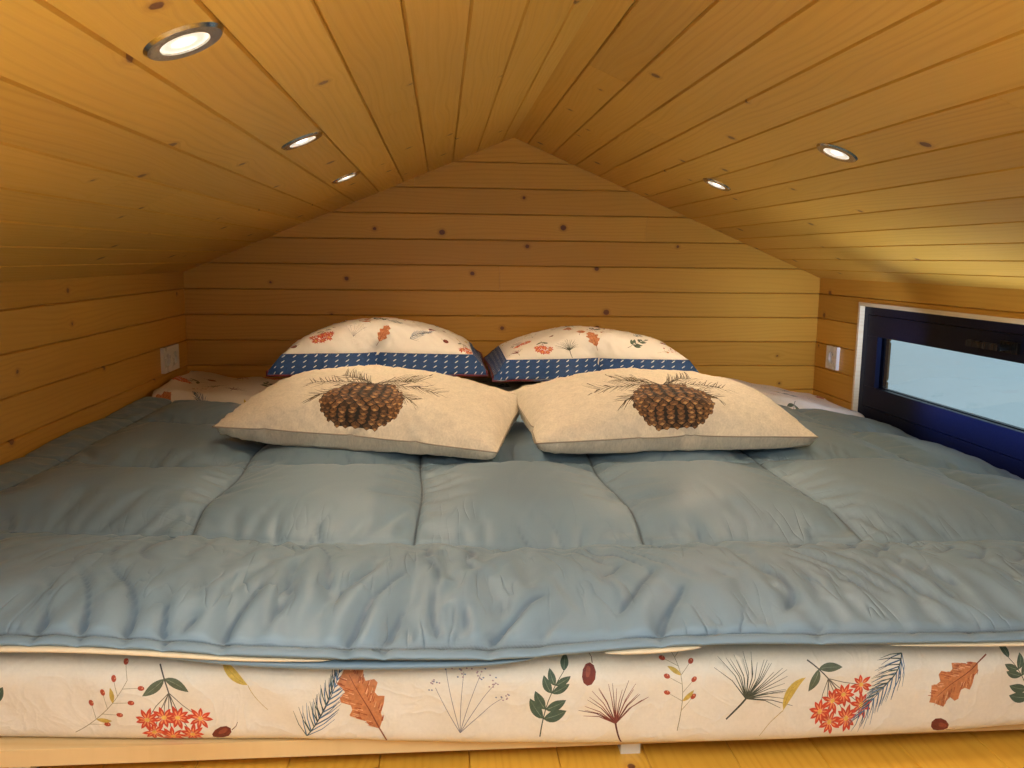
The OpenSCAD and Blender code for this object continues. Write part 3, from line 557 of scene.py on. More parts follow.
class Print:
    """Coloured outlines on the flat cloth: leaves, stems, needles, flowers and berries, in metres."""

    def __init__(self, seed, lo, hi):
        self.rng = np.random.default_rng(seed)
        self.lo, self.hi = np.array(lo), np.array(hi)
        self.shapes = []
        self.turn(0, 0, 0, 1)

    def turn(self, x, y, angle, size, mirror=1):
        c, s = math.cos(angle) * size, math.sin(angle) * size
        self.move = np.array([[c * mirror, -s], [s * mirror, c]]), np.array([x, y])

    def put(self, points, colour):
        pts = np.asarray(points) @ self.move[0].T + self.move[1]
        limits = (0, 1, self.lo[0]), (0, -1, -self.hi[0]), (1, 1, self.lo[1]), (1, -1, -self.hi[1])
        for axis, sign, limit in limits:
            side = pts[:, axis] * sign - limit
            if (side < 0).all():
                return
            if (side < 0).any():
                new = []
                for i in range(len(pts)):
                    j = (i + 1) % len(pts)
                    if side[i] >= 0:
                        new.append(pts[i])
                    if (side[i] >= 0) != (side[j] >= 0):
                        new.append(pts[i] + (pts[j] - pts[i]) * side[i] / (side[i] - side[j]))
                pts = np.array(new)
        if len(pts) >= 3:
            self.shapes.append((pts, colour))

    def spine(self, at, angle, length, bend, n=9):
        t = np.linspace(0, 1, n)
        a = angle + bend * (t - 0.5)
        step = np.stack([np.cos(a), np.sin(a)], -1) * length / (n - 1)
        line = np.array(at) + np.concatenate([[[0, 0]], np.cumsum((step[1:] + step[:-1]) / 2, 0)])
        normal = np.stack([-np.sin(a), np.cos(a)], -1)
        return t, line, normal

    def leaf(self, at, angle, length, width, colour, vein=None, bend=0.3):
        t, line, normal = self.spine(at, angle, length, bend)
        half = (width / 2 * np.sin(math.pi * t ** 0.9) ** 0.9)[:, None]
        self.put(np.concatenate([line + normal * half, (line - normal * half)[-2:0:-1]]), colour)
        if vein is not None:
            self.stroke(line[1:-1], 0.0007, 0.0002, vein)

    def stroke(self, line, w0, w1, colour):
        line = np.asarray(line, float)
        d = np.gradient(line, axis=0)
        normal = np.stack([-d[:, 1], d[:, 0]], -1) / np.linalg.norm(d, axis=1)[:, None]
        half = np.linspace(w0, w1, len(line))[:, None] / 2
        self.put(np.concatenate([line + normal * half, (line - normal * half)[::-1]]), colour)

    def stem(self, at, angle, length, bend, colour, w0=0.0016, w1=0.0008, n=9):
        _, line, _ = self.spine(at, angle, length, bend, n)
        self.stroke(line, w0, w1, colour)
        return line

    def dot(self, at, rx, ry, angle, colour, n=10):
        a = np.linspace(0, 2 * math.pi, n, endpoint=False)
        c, s = math.cos(angle), math.sin(angle)
        x, y = np.cos(a) * rx, np.sin(a) * ry
        self.put(np.stack([at[0] + c * x - s * y, at[1] + s * x + c * y], -1), colour)

    def frond(self, length=0.085, pairs=4, colour=srgb("44584a"), vein=srgb("7f8f7c")):
        line = self.stem((0, 0), UP, length, 0.5, srgb("3d4a3e"))
        for k in range(pairs):
            p = line[2 + k * 6 // pairs]
            size = length * (0.36 - 0.03 * k)
            for side in (-1, 1):
                self.leaf(p, UP + side * (0.95 - 0.1 * k), size, size * 0.42, colour, vein, -side * 0.4)
        self.leaf(line[-1], 1.4, length * 0.27, length * 0.12, colour, vein, 0.2)

    def needles(self, length, colour, deep, spread, count, one_side=False):
        line = self.stem((0, 0), UP, length, 0.5, deep, 0.0014, 0.0008, 12)
        for k in range(count):
            f = (k + 1) / count
            p = line[min(11, int(f * 11))]
            for side in ((1,) if one_side else (-1, 1)):
                a = UP + side * spread * (1.15 - 0.5 * f) + self.rng.normal(0, 0.06)
                reach = length * 0.36 * (1.1 - 0.5 * f) * self.rng.uniform(0.8, 1.15)
                tip = p + reach * heading(a)
                mid = (p + tip) / 2 + np.array([-math.sin(a), math.cos(a)]) * reach * 0.05 * side
                self.stroke([p, mid, tip], 0.0016, 0.0004, colour if self.rng.random() < 0.7 else deep)

    def tuft(self, length, colour, deep, count=26):
        for k in range(count):
            a = UP + (k / (count - 1) - 0.5) * 2.5 + self.rng.normal(0, 0.05)
            r = length * self.rng.uniform(0.72, 1.0)
            tip = r * heading(a)
            mid = tip * 0.5 + np.array([0, 0.06 * length])
            self.stroke([(0, 0), mid, tip], 0.0014, 0.0004, colour if k % 3 else deep)
        self.stem((0, 0), -1.4, length * 0.5, 0.3, deep, 0.0022, 0.0016)

    def bloom(self, at, radius, petals):
        a0 = self.rng.uniform(0, 6)
        for k in range(petals):
            a = a0 + k * 2 * math.pi / petals + self.rng.normal(0, 0.07)
            start = np.array(at) + 0.12 * radius * heading(a)
            reach = radius * self.rng.uniform(0.8, 1.0)
            self.leaf(start, a, reach, radius * 0.36, srgb("c6432c"), bend=0.1)
            self.leaf(start, a, radius * 0.55, radius * 0.13, srgb("e58f63"), bend=0.0)
        self.dot(at, radius * 0.2, radius * 0.18, 0, srgb("e0b35a"))

    def bunch(self, size=0.1):
        line = self.stem((0, size * 0.9), -1.7, size * 0.75, 0.4, srgb("4c4a48"), 0.002, 0.0012)
        stalks = ((-2.3, 0.5), (-1.9, 0.62), (-1.5, 0.6), (-1.1, 0.56), (-0.8, 0.44), (-1.75, 0.34),
                  (-1.25, 0.33))
        p = line[4]
        for k, (a, r) in enumerate(stalks):
            q = p + r * size * heading(a)
            self.stroke([p, (p + q) / 2 + [0.002, 0.001], q], 0.0011, 0.0008, srgb("5a5650"))
            self.bloom(q, size * 0.155, 8 + k % 3)
        for side in (-1, 1):
            self.leaf(line[2], -UP + side * 1.0, size * 0.34, size * 0.12, srgb("56614f"), srgb("85907c"))

    def spray(self, size=0.1):
        line = self.stem((0, 0), 1.3, size, 0.6, srgb("8d8468"), 0.001, 0.0006, 10)
        for k in range(2, 10):
            side = 1 if k % 2 else -1
            q = line[k] + size * 0.22 * heading(1.4 + side * 0.9)
            self.stroke([line[k], (line[k] + q) / 2, q], 0.0007, 0.0005, srgb("8d8468"))
            self.dot(q, 0.0042, 0.0031, 1.4 + side, srgb("a5432c"))
            self.dot(q + [0.0012, 0.0010], 0.0013, 0.0009, 1.4, srgb("d68f6c"), 6)
        for k, side in ((3, 1), (6, -1)):
            self.leaf(line[k], 1.3 - side * 0.9, size * 0.2, size * 0.06, srgb("bda24f"))

    def heads(self, size=0.09):
        for k in range(6):
            a = UP + (k - 2.5) * 0.28
            _, line, _ = self.spine((0, 0), a, size * self.rng.uniform(0.7, 0.95), 0.15)
            self.stroke(line, 0.0009, 0.0006, srgb("7d7a86"))
            for _ in range(9):
                q = line[-1] + self.rng.normal(0, size * 0.055, 2)
                self.dot(q, 0.0013, 0.0010, 0, srgb("a08490" if self.rng.random() < 0.6 else "6f7a94"), 6)

    def lobed(self, size=0.07):
        """A broad lobed leaf, hatched with fine strokes."""
        t = np.linspace(0, 1, 15)
        half = size * 0.36 * np.sin(math.pi * t ** 0.85) ** 0.7 * (0.78 + 0.22 * np.cos(t * 7.5 * math.pi))
        half[0] = half[-1] = 0
        line = np.stack([np.zeros(15), t * size * 1.15], -1)
        edge = np.concatenate([line + np.stack([half, half * 0.25], -1),
                               (line + np.stack([-half, half * 0.25], -1))[-2:0:-1]])
        self.put(edge, srgb("c07a4e"))
        for k in range(70):
            f = self.rng.uniform(0.06, 0.92)
            side = self.rng.choice((-1, 1))
            w = np.interp(f, t, half) * self.rng.uniform(0.25, 0.8)
            p = np.array([side * w, f * size * 1.15])
            q = p + size * 0.10 * np.array([side * 0.7, 0.7])
            self.stroke([p, (p + q) / 2, q], 0.0012, 0.0005, srgb("9a4a2c" if k % 3 else "e0a983"))
        self.stroke(np.concatenate([[[0.001, -size * 0.25]], line[:-1:2]]), 0.0018, 0.0006, srgb("7e3d26"))

    def seed(self, size=0.014):
        self.dot((0, 0), size, size * 0.62, 0.2, srgb("6d2a20"))
        self.dot((size * 0.2, size * 0.15), size * 0.5, size * 0.22, 0.2, srgb("8e4634"))
        stalk = [(size, 0.0), (size * 1.5, size * 0.2), (size * 1.8, size * 0.5)]
        self.stroke(stalk, 0.0012, 0.0006, srgb("5a3a2a"))

    def curl(self, size=0.05):
        self.leaf((0, 0), 1.3, size, size * 0.24, srgb("c9ad52"), srgb("a98c38"), 0.9)
        self.stem((0, 0), -1.7, size * 0.8, -0.5, srgb("b09b58"), 0.0009, 0.0006)

    def blue(self):
        self.needles(0.1, srgb("4f7196"), srgb("34506e"), 0.5, 22)
        self.needles(0.085, srgb("3f5650"), srgb("2c3b3a"), 0.75, 18, True)

    def pine(self):
        self.tuft(0.06, srgb("4a5145"), srgb("2f342c"))

    def rust(self):
        self.tuft(0.05, srgb("7c3a33"), srgb("55221f"), 20)

    def scatter(self, spots):
        """Motifs at the listed places: kind, place, turn and size."""
        for kind, x, y, angle, size in spots:
            self.turn(x, y, angle, size, 1 if self.rng.random() < 0.5 else -1)
            getattr(self, kind)()

    def fill(self, lo, hi, pitch, size):
        """Motifs over the whole cloth, on a loose staggered grid."""
        kinds = ("frond", "spray", "blue", "seed", "rust", "curl", "bunch", "heads", "pine", "seed", "lobed")
        row, y, k = 0, lo[1] + pitch * 0.4, int(self.rng.integers(0, len(kinds)))
        while y < hi[1]:
            x = lo[0] + pitch * (0.3 + 0.5 * (row % 2))
            while x < hi[0]:
                jx, jy = self.rng.uniform(-0.16, 0.16, 2) * pitch
                self.scatter([(kinds[k % len(kinds)], x + jx, y + jy, self.rng.uniform(-0.9, 0.9),
                               size * self.rng.uniform(0.8, 1.1))])
                k += int(self.rng.integers(1, 4))
                x += pitch
            y += pitch * 0.8
            row += 1


def owners_of(centres, shapes):
    """For each point, the last outline drawn over it, or -1."""
    order = np.argsort(centres[:, 0])
    sorted_x = centres[order, 0]
    own = np.full(len(centres), -1)
    for k, (shape, _) in enumerate(shapes):
        lo, hi = shape.min(0), shape.max(0)
        near = order[np.searchsorted(sorted_x, lo[0]):np.searchsorted(sorted_x, hi[0])]
        near = near[(centres[near, 1] > lo[1]) & (centres[near, 1] < hi[1])]
        x, y = centres[near, 0], centres[near, 1]
        inside = np.zeros(len(near), bool)
        for (x0, y0), (x1, y1) in zip(shape, np.roll(shape, -1, 0)):
            crosses = (y0 > y) != (y1 > y)
            if crosses.any():
                inside ^= crosses & (x < x0 + (y - y0) * (x1 - x0) / (y1 - y0 if y1 != y0 else 1e-12))
        own[near[inside]] = k
    return own


def printed(name, layers, mat, replaces):
    """One mesh of cloth layers, each with its grid, outlines, ground colour, way to space and side."""
    verts, faces, colours, cloth = [], [], [], []
    for us, vs, shapes, ground, place, flip in layers:
        gu, gv = np.meshgrid(us, vs)
        pts = np.stack([gu.ravel(), gv.ravel()], -1)
        if shapes:
            edges, start = [], len(pts)
            for shape, _ in shapes:
                n = len(shape)
                edges += [(start + i, start + (i + 1) % n) for i in range(n)]
                start += n
            pts = np.concatenate([pts] + [s for s, _ in shapes])
            out = delaunay_2d_cdt([Vector(p) for p in pts], edges, [], 0, 1e-6)
            flat = np.array([tuple(v) for v in out[0]])
            tris = out[2]
            owners = owners_of(flat[np.array(tris)].mean(1), shapes)
        else:
            flat, tris = pts, grid_faces(len(us), len(vs)).tolist()
            owners = [-1] * len(tris)
        first = len(verts)
        verts.extend(place(flat[:, 0], flat[:, 1]).tolist())
        cloth.extend(flat.tolist())
        for tri, own in zip(tris, owners):
            faces.append([first + i for i in (tri[::-1] if flip else tri)])
            colour = shapes[own][1] if own >= 0 else ground
            colours.extend([(*colour, 1.0)] * len(tri))
    mesh = mesh_from(name, verts, faces, smooth=True)
    store(mesh, "print", colours, "FLOAT_COLOR", "color", "CORNER")
    store(mesh, "cloth", np.pad(np.array(cloth), ((0, 0), (0, 1))))
    rework(mesh, lambda bm: bmesh.ops.remove_doubles(bm, verts=bm.verts, dist=2e-6))
    return link(name, mesh, mat, replaces)


# Bedding: shared shape

MAT_LO, MAT_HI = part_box("mattress")
QUILT_LO, QUILT_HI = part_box("quilt")
DUVET_LO, DUVET_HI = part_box("duvet")
BED_HALF = QUILT_HI[0]
SLAT_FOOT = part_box("bed_slats")[0][1]
MAT_TOP = MAT_HI[2]
QUILT_FOOT, QUILT_HEAD = QUILT_LO[1], QUILT_HI[1]
DUVET_FOOT, DUVET_RAMP, DUVET_T, DUVET_HEAD_T = DUVET_LO[1], 0.06, 0.025, 0.075
SEAM_PITCH_X, SEAM_PITCH_Y = 0.375, 0.43
SEAM_X = [0.085 + SEAM_PITCH_X * k for k in range(-3, 3)]
SEAM_Y = [GABLE - 1.19 + SEAM_PITCH_Y * k for k in range(-1, 2)]
# Clearance between soft pieces, and the height of the quilt's seams and puffs
REST = 0.0003
QUILT_SEAM_RISE, QUILT_PUFF = 0.0399, 0.019


def side_fall(x, y):
    right = ease((x - MAT_HI[0]) / (BED_HALF - MAT_HI[0]))
    left = ease((MAT_LO[0] - x) / (BED_HALF + MAT_LO[0]))
    sag = 0.070 * ease((QUILT_FOOT + 0.35 - y) / 0.35)
    return (0.060 + sag) * right + (sag - 0.022) * left


def foot_drop(y):
    return 0.009 * np.clip((QUILT_FOOT + 0.13 - y) / 0.13, 0, 1) ** 2


# Heights of the quilt's hem, and the sway of its first seam, at places across the bed
HEM_AT = [-1.12, -0.78, -0.708, -0.641, -0.564, -0.502, -0.395, -0.28, -0.177, -0.103, -0.029, 0.03, 0.123,
          0.244, 0.332, 0.501, 1.12]
HEM_RISE = [0.012, 0.0240, 0.0250, 0.0230, 0.0185, 0.0135, 0.0100, 0.0080, 0.0070, 0.0120, 0.0180, 0.0210,
            0.0220, 0.0180, 0.0165, 0.0130, 0.006]
SWAY_AT = [-1.12, -0.98, -0.685, -0.58, -0.511, -0.267, -0.154, -0.09, 0.012, 0.181, 0.4, 0.739, 1.12]
SWAY = [0.03, 0.055, 0.040, 0.013, -0.010, -0.027, -0.058, -0.062, -0.042, -0.041, -0.050, -0.059, -0.03]


def softened(x, at, values):
    """A table read with its corners rounded off."""
    steps = np.linspace(-1, 1, 7) * 0.03
    return sum(np.interp(x + s, at, values) for s in steps) / len(steps)


def hem_rise(x, y):
    """How far the foot of the quilt is puffed up from the mattress."""
    return softened(x, HEM_AT, HEM_RISE) * np.clip((QUILT_FOOT + 0.16 - y) / 0.145, 0, 1) ** 1.6


def bow_back(x, y):
    return 0.060 * np.minimum(1, np.abs(x - 0.2) / HALF) ** 2 * ease((QUILT_FOOT + 0.5 - y) / 0.5)


def quilt_base(x, y):
    """The quilt's top along its seams."""
    thin = ease((QUILT_HEAD - y) / 0.06)
    off = 1 - ease((y - DUVET_FOOT + 3 * DUVET_RAMP) / (3 * DUVET_RAMP))
    level = MAT_TOP + QUILT_SEAM_RISE - side_fall(x, y) - foot_drop(y) + hem_rise(x, y)
    return level - DUVET_T * off - 0.007 * (1 - thin)


def quilt_under(x, y):
    ride = DUVET_T * ease((y - DUVET_FOOT + DUVET_RAMP) / (DUVET_RAMP - 0.002))
    e = np.clip(0.055 - (y - MAT_LO[1]), 0, 0.055)
    hem = np.minimum(0.003, 0.055 - np.sqrt(0.055 ** 2 - e ** 2))
    return MAT_TOP + 2 * REST + ride - side_fall(x, y) - hem + hem_rise(x, y)


def ripples(seed, count, shortest, longest, slant=0.5, along=0):
    """A sum of sine waves that run across one axis, each a little aslant."""
    rng = np.random.default_rng(seed)
    waves = [(2 * math.pi / rng.uniform(shortest, longest), rng.uniform(-slant, slant), rng.uniform(0, 6.28))
             for _ in range(count)]

    def height(x, y):
        a, b = (x, y) if along == 0 else (y, x)
        return sum(np.sin(k * (a + s * b) + p) for k, s, p in waves) / math.sqrt(count)
    return height


def smooth_max(value, floor, blend):
    t = value - floor
    return floor + 0.5 * (t + np.sqrt(t * t + blend * blend))


def snap(grid, marks):
    for mark in marks:
        grid[np.argmin(abs(grid - mark))] = mark
    return grid


def edge_cord(name, grid, radius, sides, mat):
    """A round cord sewn along the four edges of a grid."""
    pts = np.concatenate([grid[0, :-1], grid[:-1, -1], grid[-1, :0:-1], grid[:0:-1, 0]])
    n = len(pts)
    ahead = np.roll(pts, -1, 0) - np.roll(pts, 1, 0)
    ahead /= np.linalg.norm(ahead, axis=1)[:, None]
    side = np.cross(ahead, (0, 0, 1))
    side /= np.maximum(np.linalg.norm(side, axis=1), 1e-9)[:, None]
    up = np.cross(side, ahead)
    a = np.linspace(0, 2 * math.pi, sides, endpoint=False)
    round_it = np.cos(a)[None, :, None] * side[:, None] + np.sin(a)[None, :, None] * up[:, None]
    ring = pts[:, None] + radius * round_it
    faces = []
    for i in range(n):
        j = (i + 1) % n
        faces += [(i * sides + k, i * sides + (k + 1) % sides, j * sides + (k + 1) % sides, j * sides + k)
                  for k in range(sides)]
    link(name, mesh_from(name, ring.reshape(-1, 3), faces, True), mat)


# Bedding: pillows and cushions

def blown_bag(w, d, h, pitch, press, seed, frames):
    """Top and bottom of a bag sewn from two flat cloths and filled, brought to w by d by h."""
    nu, nv = round(w / pitch) + 1, round(d / pitch) + 1
    us, vs = np.linspace(-w / 2, w / 2, nu), np.linspace(-d / 2, d / 2, nv)
    gu, gv = np.meshgrid(us, vs)
    a, b = np.abs(2 * gu / w), np.abs(2 * gv / d)
    crown = ((1 - a ** 2.6) * (1 - b ** 2.6)) ** 0.55
    rng = np.random.default_rng(seed)
    uneven = rng.normal(0, 0.0012, gu.shape) * (crown > 0)
    top = np.stack([gu, gv, crown * 0.03 + uneven], -1)
    ids = np.arange(nu * nv).reshape(nv, nu)
    inner = np.zeros((nv, nu), bool)
    inner[1:-1, 1:-1] = True
    low_ids = ids.copy()
    low_ids[inner] = nu * nv + np.arange(inner.sum())
    low = top * [1, 1, -1]
    verts = np.concatenate([top.reshape(-1, 3), low[inner]])
    faces = np.concatenate([grid_faces(nu, nv), low_ids.ravel()[grid_faces(nu, nv, True)]])
    out = run_cloth(verts, faces, [], press, (0.0, 0.0), 0.4, frames)
    top, low = out[ids], out[low_ids]
    lo, hi = out.min(0), out.max(0)
    mid, size = (lo + hi) / 2, np.array([w, d, h]) / (hi - lo)
    return us, vs, (top - mid) * size, (low - mid) * size


def lay_bag(points, x, y, z, press, lean, roll, turn, reach, h):
    """Leans, turns and sets down the points of a bag, flat where they meet the bedding at z."""
    turned = (Matrix.Rotation(math.radians(turn), 3, "Z") @ Matrix.Rotation(math.radians(roll), 3, "Y")
              @ Matrix.Rotation(math.radians(lean), 3, "X"))
    centre = z + h / 2 * math.cos(math.radians(lean)) + reach * math.sin(math.radians(lean)) / 2 - press
    out = points @ np.array(turned).T + [x, y, centre]
    out[..., 2] = smooth_max(out[..., 2], z + 0.0006, 0.006)
    return out


def add_flange(us, vs, layer, border, hang, lift, ruffle):
    """A bag's layer with a border that hangs from its seam, at angles for side, front and back."""
    w, d = us[-1], vs[-1]
    steps = np.array([0.2, 0.4, 0.6, 0.8, 1.0])
    extra, n = steps * border, len(steps)
    wide_u = np.concatenate([-w - extra[::-1], us, w + extra])
    wide_v = np.concatenate([-d - extra[::-1], vs, d + extra])
    side, front, back = [math.radians(a) for a in hang]
    fu = np.clip((np.abs(wide_u) - w) / border, 0, 1)[None, :]
    fv = np.clip((np.abs(wide_v) - d) / border, 0, 1)[:, None]
    fall = np.where(wide_v < 0, front, back)[:, None]
    gu, gv = np.meshgrid(wide_u, wide_v)
    wave = ruffle(gu, gv) * 0.006 * np.maximum(fu, fv)
    ju = np.clip(np.arange(len(wide_u)) - n, 0, len(us) - 1)
    jv = np.clip(np.arange(len(wide_v)) - n, 0, len(vs) - 1)
    out = layer[jv][:, ju].copy()
    out[..., 0] += np.sign(wide_u)[None, :] * fu * (border * math.cos(side) + wave)
    out[..., 1] += np.sign(wide_v)[:, None] * fv * (border * np.cos(fall) + wave)
    out[..., 2] -= np.maximum(border * math.sin(side) * fu, border * np.sin(fall) * fv) - wave * 0.3
    seam = np.maximum(fu, fv)
    out[..., 2] += lift * np.minimum(1, 4 * (1 - seam)) * (seam > 0)
    return wide_u, wide_v, out


CREAM = srgb("e6dfd3")
PILLOW_WHITE = srgb("f3eee6")
BLUE = srgb("1e4a82")


def border_shapes(art, w, d, border):
    """The blue border of a pillowcase, with its small white dashes."""
    inner, outer = (w / 2, d / 2), (w / 2 + border - 0.0006, d / 2 + border - 0.0006)
    for sx, sy, axis in ((1, 0, 0), (-1, 0, 0), (0, 1, 1), (0, -1, 1)):
        if axis == 0:
            art.put([(sx * inner[0], -inner[1]), (sx * outer[0], -outer[1]), (sx * outer[0], outer[1]),
                     (sx * inner[0], inner[1])], BLUE)
        else:
            art.put([(-inner[0], sy * inner[1]), (-outer[0], sy * outer[1]), (outer[0], sy * outer[1]),
                     (inner[0], sy * inner[1])], BLUE)
    pitch, rows = 0.030, 4
    for row in range(rows):
        run = inner[0] + border * (row + 0.5) / rows
        side = inner[1] + border * (row + 0.5) / rows
        for sign in (-1, 1):
            for along, reach, fixed in ((0, run, sign * side), (1, side, sign * run)):
                t = -reach + pitch * (0.4 + 0.5 * (row % 2))
                while t < reach - 0.006:
                    spot = (t, fixed) if along == 0 else (fixed, t)
                    art.dot(spot, 0.0064, 0.0016, 0.60, srgb("e6e8ea"), 6)
                    t += pitch


def make_pillow(side, x, h, seed):
    name = side + "_pillow"
    w, d, border, low_share = 0.56, 0.40, 0.065, 0.61
    us, vs, top, low = blown_bag(w, d, 1.0, 0.0125, 1.0, seed, 20)
    ruffle = ripples(seed + 1, 6, 0.07, 0.2)
    plane = MAT_TOP + DUVET_HEAD_T + 3 * REST
    limit_u, limit_v = w / 2 + border - 0.0005, d / 2 + border - 0.0005
    layers, grids = [], []
    for layer, lift, flip in ((top, 0.0012, False), (low, -0.0012, True)):
        layer = layer.copy()
        layer[..., 2] *= np.where(layer[..., 2] > 0, 2 * (1 - low_share), 2 * low_share) * h
        wide_u, wide_v, grid = add_flange(us, vs, layer, border, (50, 70, 20), lift, ruffle)
        grid = grid + [x, GABLE - 0.280, plane + h * low_share - 0.018]
        grid[..., 2] = smooth_max(grid[..., 2], plane + 0.0006, 0.006)
        grids.append(grid)
        art = Print(seed + 7 + flip, (-limit_u, -limit_v), (limit_u, limit_v))
        if not flip:
            inner = Print(seed + 9, (-w / 2 + 0.002, -d / 2 + 0.002), (w / 2 - 0.002, d / 2 - 0.002))
            inner.fill((-w / 2, -d / 2), (w / 2, d / 2), 0.088, 0.78)
            art.shapes += inner.shapes
        border_shapes(art, w, d, border)
        layers.append((wide_u, wide_v, art.shapes, PILLOW_WHITE, Sheet(wide_u, wide_v, grid).at, flip))
    piece = printed(name + "_cover", layers, print_cloth, [name])
    edge_cord(name + "_piping", grids[0], 0.0032, 8, piping_cloth)
    return piece


def cone_shapes(art):
    """A brown pine cone that hangs from sprigs of needles, laid out as seen from the foot of the bed."""
    rng = art.rng
    foot, crest, seen_crest = art.lo[1] + 0.004, 0.205, 0.134

    def seen(points):
        pts = np.array(points, float)
        t = pts[:, 1] / seen_crest
        pts[:, 1] = foot + crest * (0.62 * t + 0.38 * t ** 3)
        return pts

    root = np.array([0.0, 0.108])
    sprigs = (0.10, 0.15), (3.04, 0.155), (-0.22, 0.11), (3.42, 0.115), (0.42, 0.10), (2.75, 0.10)
    for angle, length in sprigs:
        way = heading(angle)
        t = np.linspace(0, 1, 7)[:, None]
        line = root + t * length * way - [0, 0.012] * t ** 2
        for k in range(40):
            f = (k + 3) / 43
            at = root + f * length * way - [0, 0.012 * f * f]
            a = angle + (1 if k % 2 else -1) * rng.uniform(0.30, 0.62)
            tip = at + rng.uniform(0.026, 0.038) * heading(a)
            shade = srgb(("54452c", "3a2e1c", "6b5836")[k % 3])
            art.stroke(seen([at, (at + tip) / 2, tip]), 0.0022, 0.0007, shade)
        art.stroke(seen(line), 0.0045, 0.0020, srgb("33271a"))
    low, high, width = 0.006, 0.110, 0.185
    t = np.linspace(0, 1, 25)
    half = width * 0.5 * np.sin(math.pi * (0.09 + 0.83 * t)) ** 0.6
    side = low + (high - low) * t
    outline = np.concatenate([np.stack([half, side], -1), np.stack([-half, side], -1)[::-1]])
    art.put(seen(outline), srgb("1d130b"))
    rows = 12
    for r in range(rows):
        f = (r + 0.4) / rows
        y, reach = low + (high - low) * f, np.interp(f, t, half)
        count = max(4, int(reach / 0.0085))
        for c in range(count + (r % 2)):
            u = (c + 0.5 - 0.5 * (r % 2)) / count * 2 - 1
            px, wide, tall = math.sin(u * 1.35) * reach, 0.0098 * (0.5 + 0.5 * math.cos(u * 1.3)), 0.0062
            shade = int(rng.integers(0, 4))
            dark = srgb(("5f4127", "6a4829", "4a331f", "745233")[shade])
            light = srgb(("a67c4c", "91693f", "7d5b39", "b88f5c")[shade])

            def scale(*spots):
                return seen([(px + wide * across, y + tall * up) for across, up in spots])

            art.put(scale((-1, 0.3), (-0.8, -0.5), (0, -1), (0.8, -0.5), (1, 0.3), (0, 1)), dark)
            art.put(scale((-0.6, -0.45), (0, -0.9), (0.6, -0.45), (0, -0.1)), light)
            art.stroke(scale((0, 0.8), (0, 0.2), (0, -0.2)), 0.0014, 0.0006, srgb("2c1d12"))


def make_cushion(side, x, from_gable, roll, turn, seed):
    name = side + "_cushion"
    w, d, h, lean = 0.645, 0.430, 0.165, 6.0
    us, vs, top, low = blown_bag(w, d, h, 0.0115, 0.95, seed, 16)
    plane = MAT_TOP + QUILT_SEAM_RISE + QUILT_PUFF + REST
    layers, grids = [], []
    for layer, flip in ((top, False), (low, True)):
        if flip:
            deep = layer[..., 2].min()
            layer[..., 2] = deep * 0.78 * np.clip(layer[..., 2] / deep, 0, 1) ** 0.45
        else:
            layer[..., 2] *= 1.12
        grid = lay_bag(layer, x, GABLE - from_gable, plane, 0.014, lean, roll, turn, d / 2, 0.62 * h + 0.022)
        grids.append(grid)
        art = Print(seed + 3, (-w / 2 + 0.002, -d / 2 + 0.002), (w / 2 - 0.002, d / 2 - 0.002))
        if not flip:
            cone_shapes(art)
        layers.append((us, vs, art.shapes, srgb("e4dac8"), Sheet(us, vs, grid).at, flip))
    piece = printed(name + "_cover", layers, canvas, [name])
    edge_cord(name + "_seam", grids[0], 0.0016, 6, seam_cloth)
    return piece


# Bedding: quilt, duvet and mattress

def rest_under(pieces, points, clear):
    """Presses the points down to stay clear of the undersides of the pieces above them."""
    for piece in pieces:
        mesh = piece.data
        tree = BVHTree.FromPolygons([v.co for v in mesh.vertices], [p.vertices for p in mesh.polygons])
        co = np.array([v.co for v in mesh.vertices])
        lo, hi = co.min(0) - 0.01, co.max(0) + 0.01
        flat = points.reshape(-1, 3)
        near = np.nonzero(((flat[:, :2] > lo[:2]) & (flat[:, :2] < hi[:2])).all(1))[0]
        for i in near:
            x, y, z = flat[i]
            hit = tree.ray_cast(Vector((x, y, 0.0)), Vector((0, 0, 1)))[0]
            if hit is not None and hit.z - clear < z:
                flat[i, 2] = hit.z - clear
    return points


def creases(across, along, pitch, seed):
    """Pleats that run one way: two leaning sets take turns, with sharp valleys, round ridges and gaps."""
    bend, kink, turn, parts = [np.empty(across.size) for _ in range(4)]
    for i, (x, y) in enumerate(zip(across.ravel(), along.ravel())):
        bend[i] = noise.noise((x * 4.2, y * 3.4, seed))
        kink[i] = noise.noise((x * 14.0, y * 10.0, seed + 5.5))
        turn[i] = noise.noise((x * 6.0, y * 4.5, seed + 9.5))
        parts[i] = noise.noise((x * 10.0, y * 7.0, seed + 3.1))
    bend, kink, turn, parts = [v.reshape(across.shape) for v in (bend, kink, turn, parts)]
    valley, lean = np.zeros(across.shape), np.zeros(across.shape)
    for sign, stretch in ((1, 1.0), (-1, 1.17)):
        phase = (across + sign * 0.30 * along + 0.085 * bend + 0.014 * kink) / (pitch * stretch)
        off = phase - np.round(phase)
        share = ease((sign * turn + 0.10) / 0.20) * ease((parts + 0.22 + 0.1 * sign) / 0.34)
        deep = np.exp(-np.abs(off) / 0.13)
        valley = np.maximum(valley, deep * share)
        lean += 0.28 * np.tanh(off / 0.09) * np.exp(-np.abs(off) / 0.25) * share
    return 0.36 - 1.25 * valley + lean


def quilt_shift(x, y):
    """How far the quilt's flat places move along the bed: bowed foot, uneven first seam and curved head."""
    sway = softened(x, SWAY_AT, SWAY) * np.exp(-((y - SEAM_Y[0]) / 0.17) ** 2)
    head = (0.095 * (x / BED_HALF) ** 2 - 0.045) * ease((y - QUILT_HEAD + 0.30) / 0.30)
    return bow_back(x, y) + sway + head


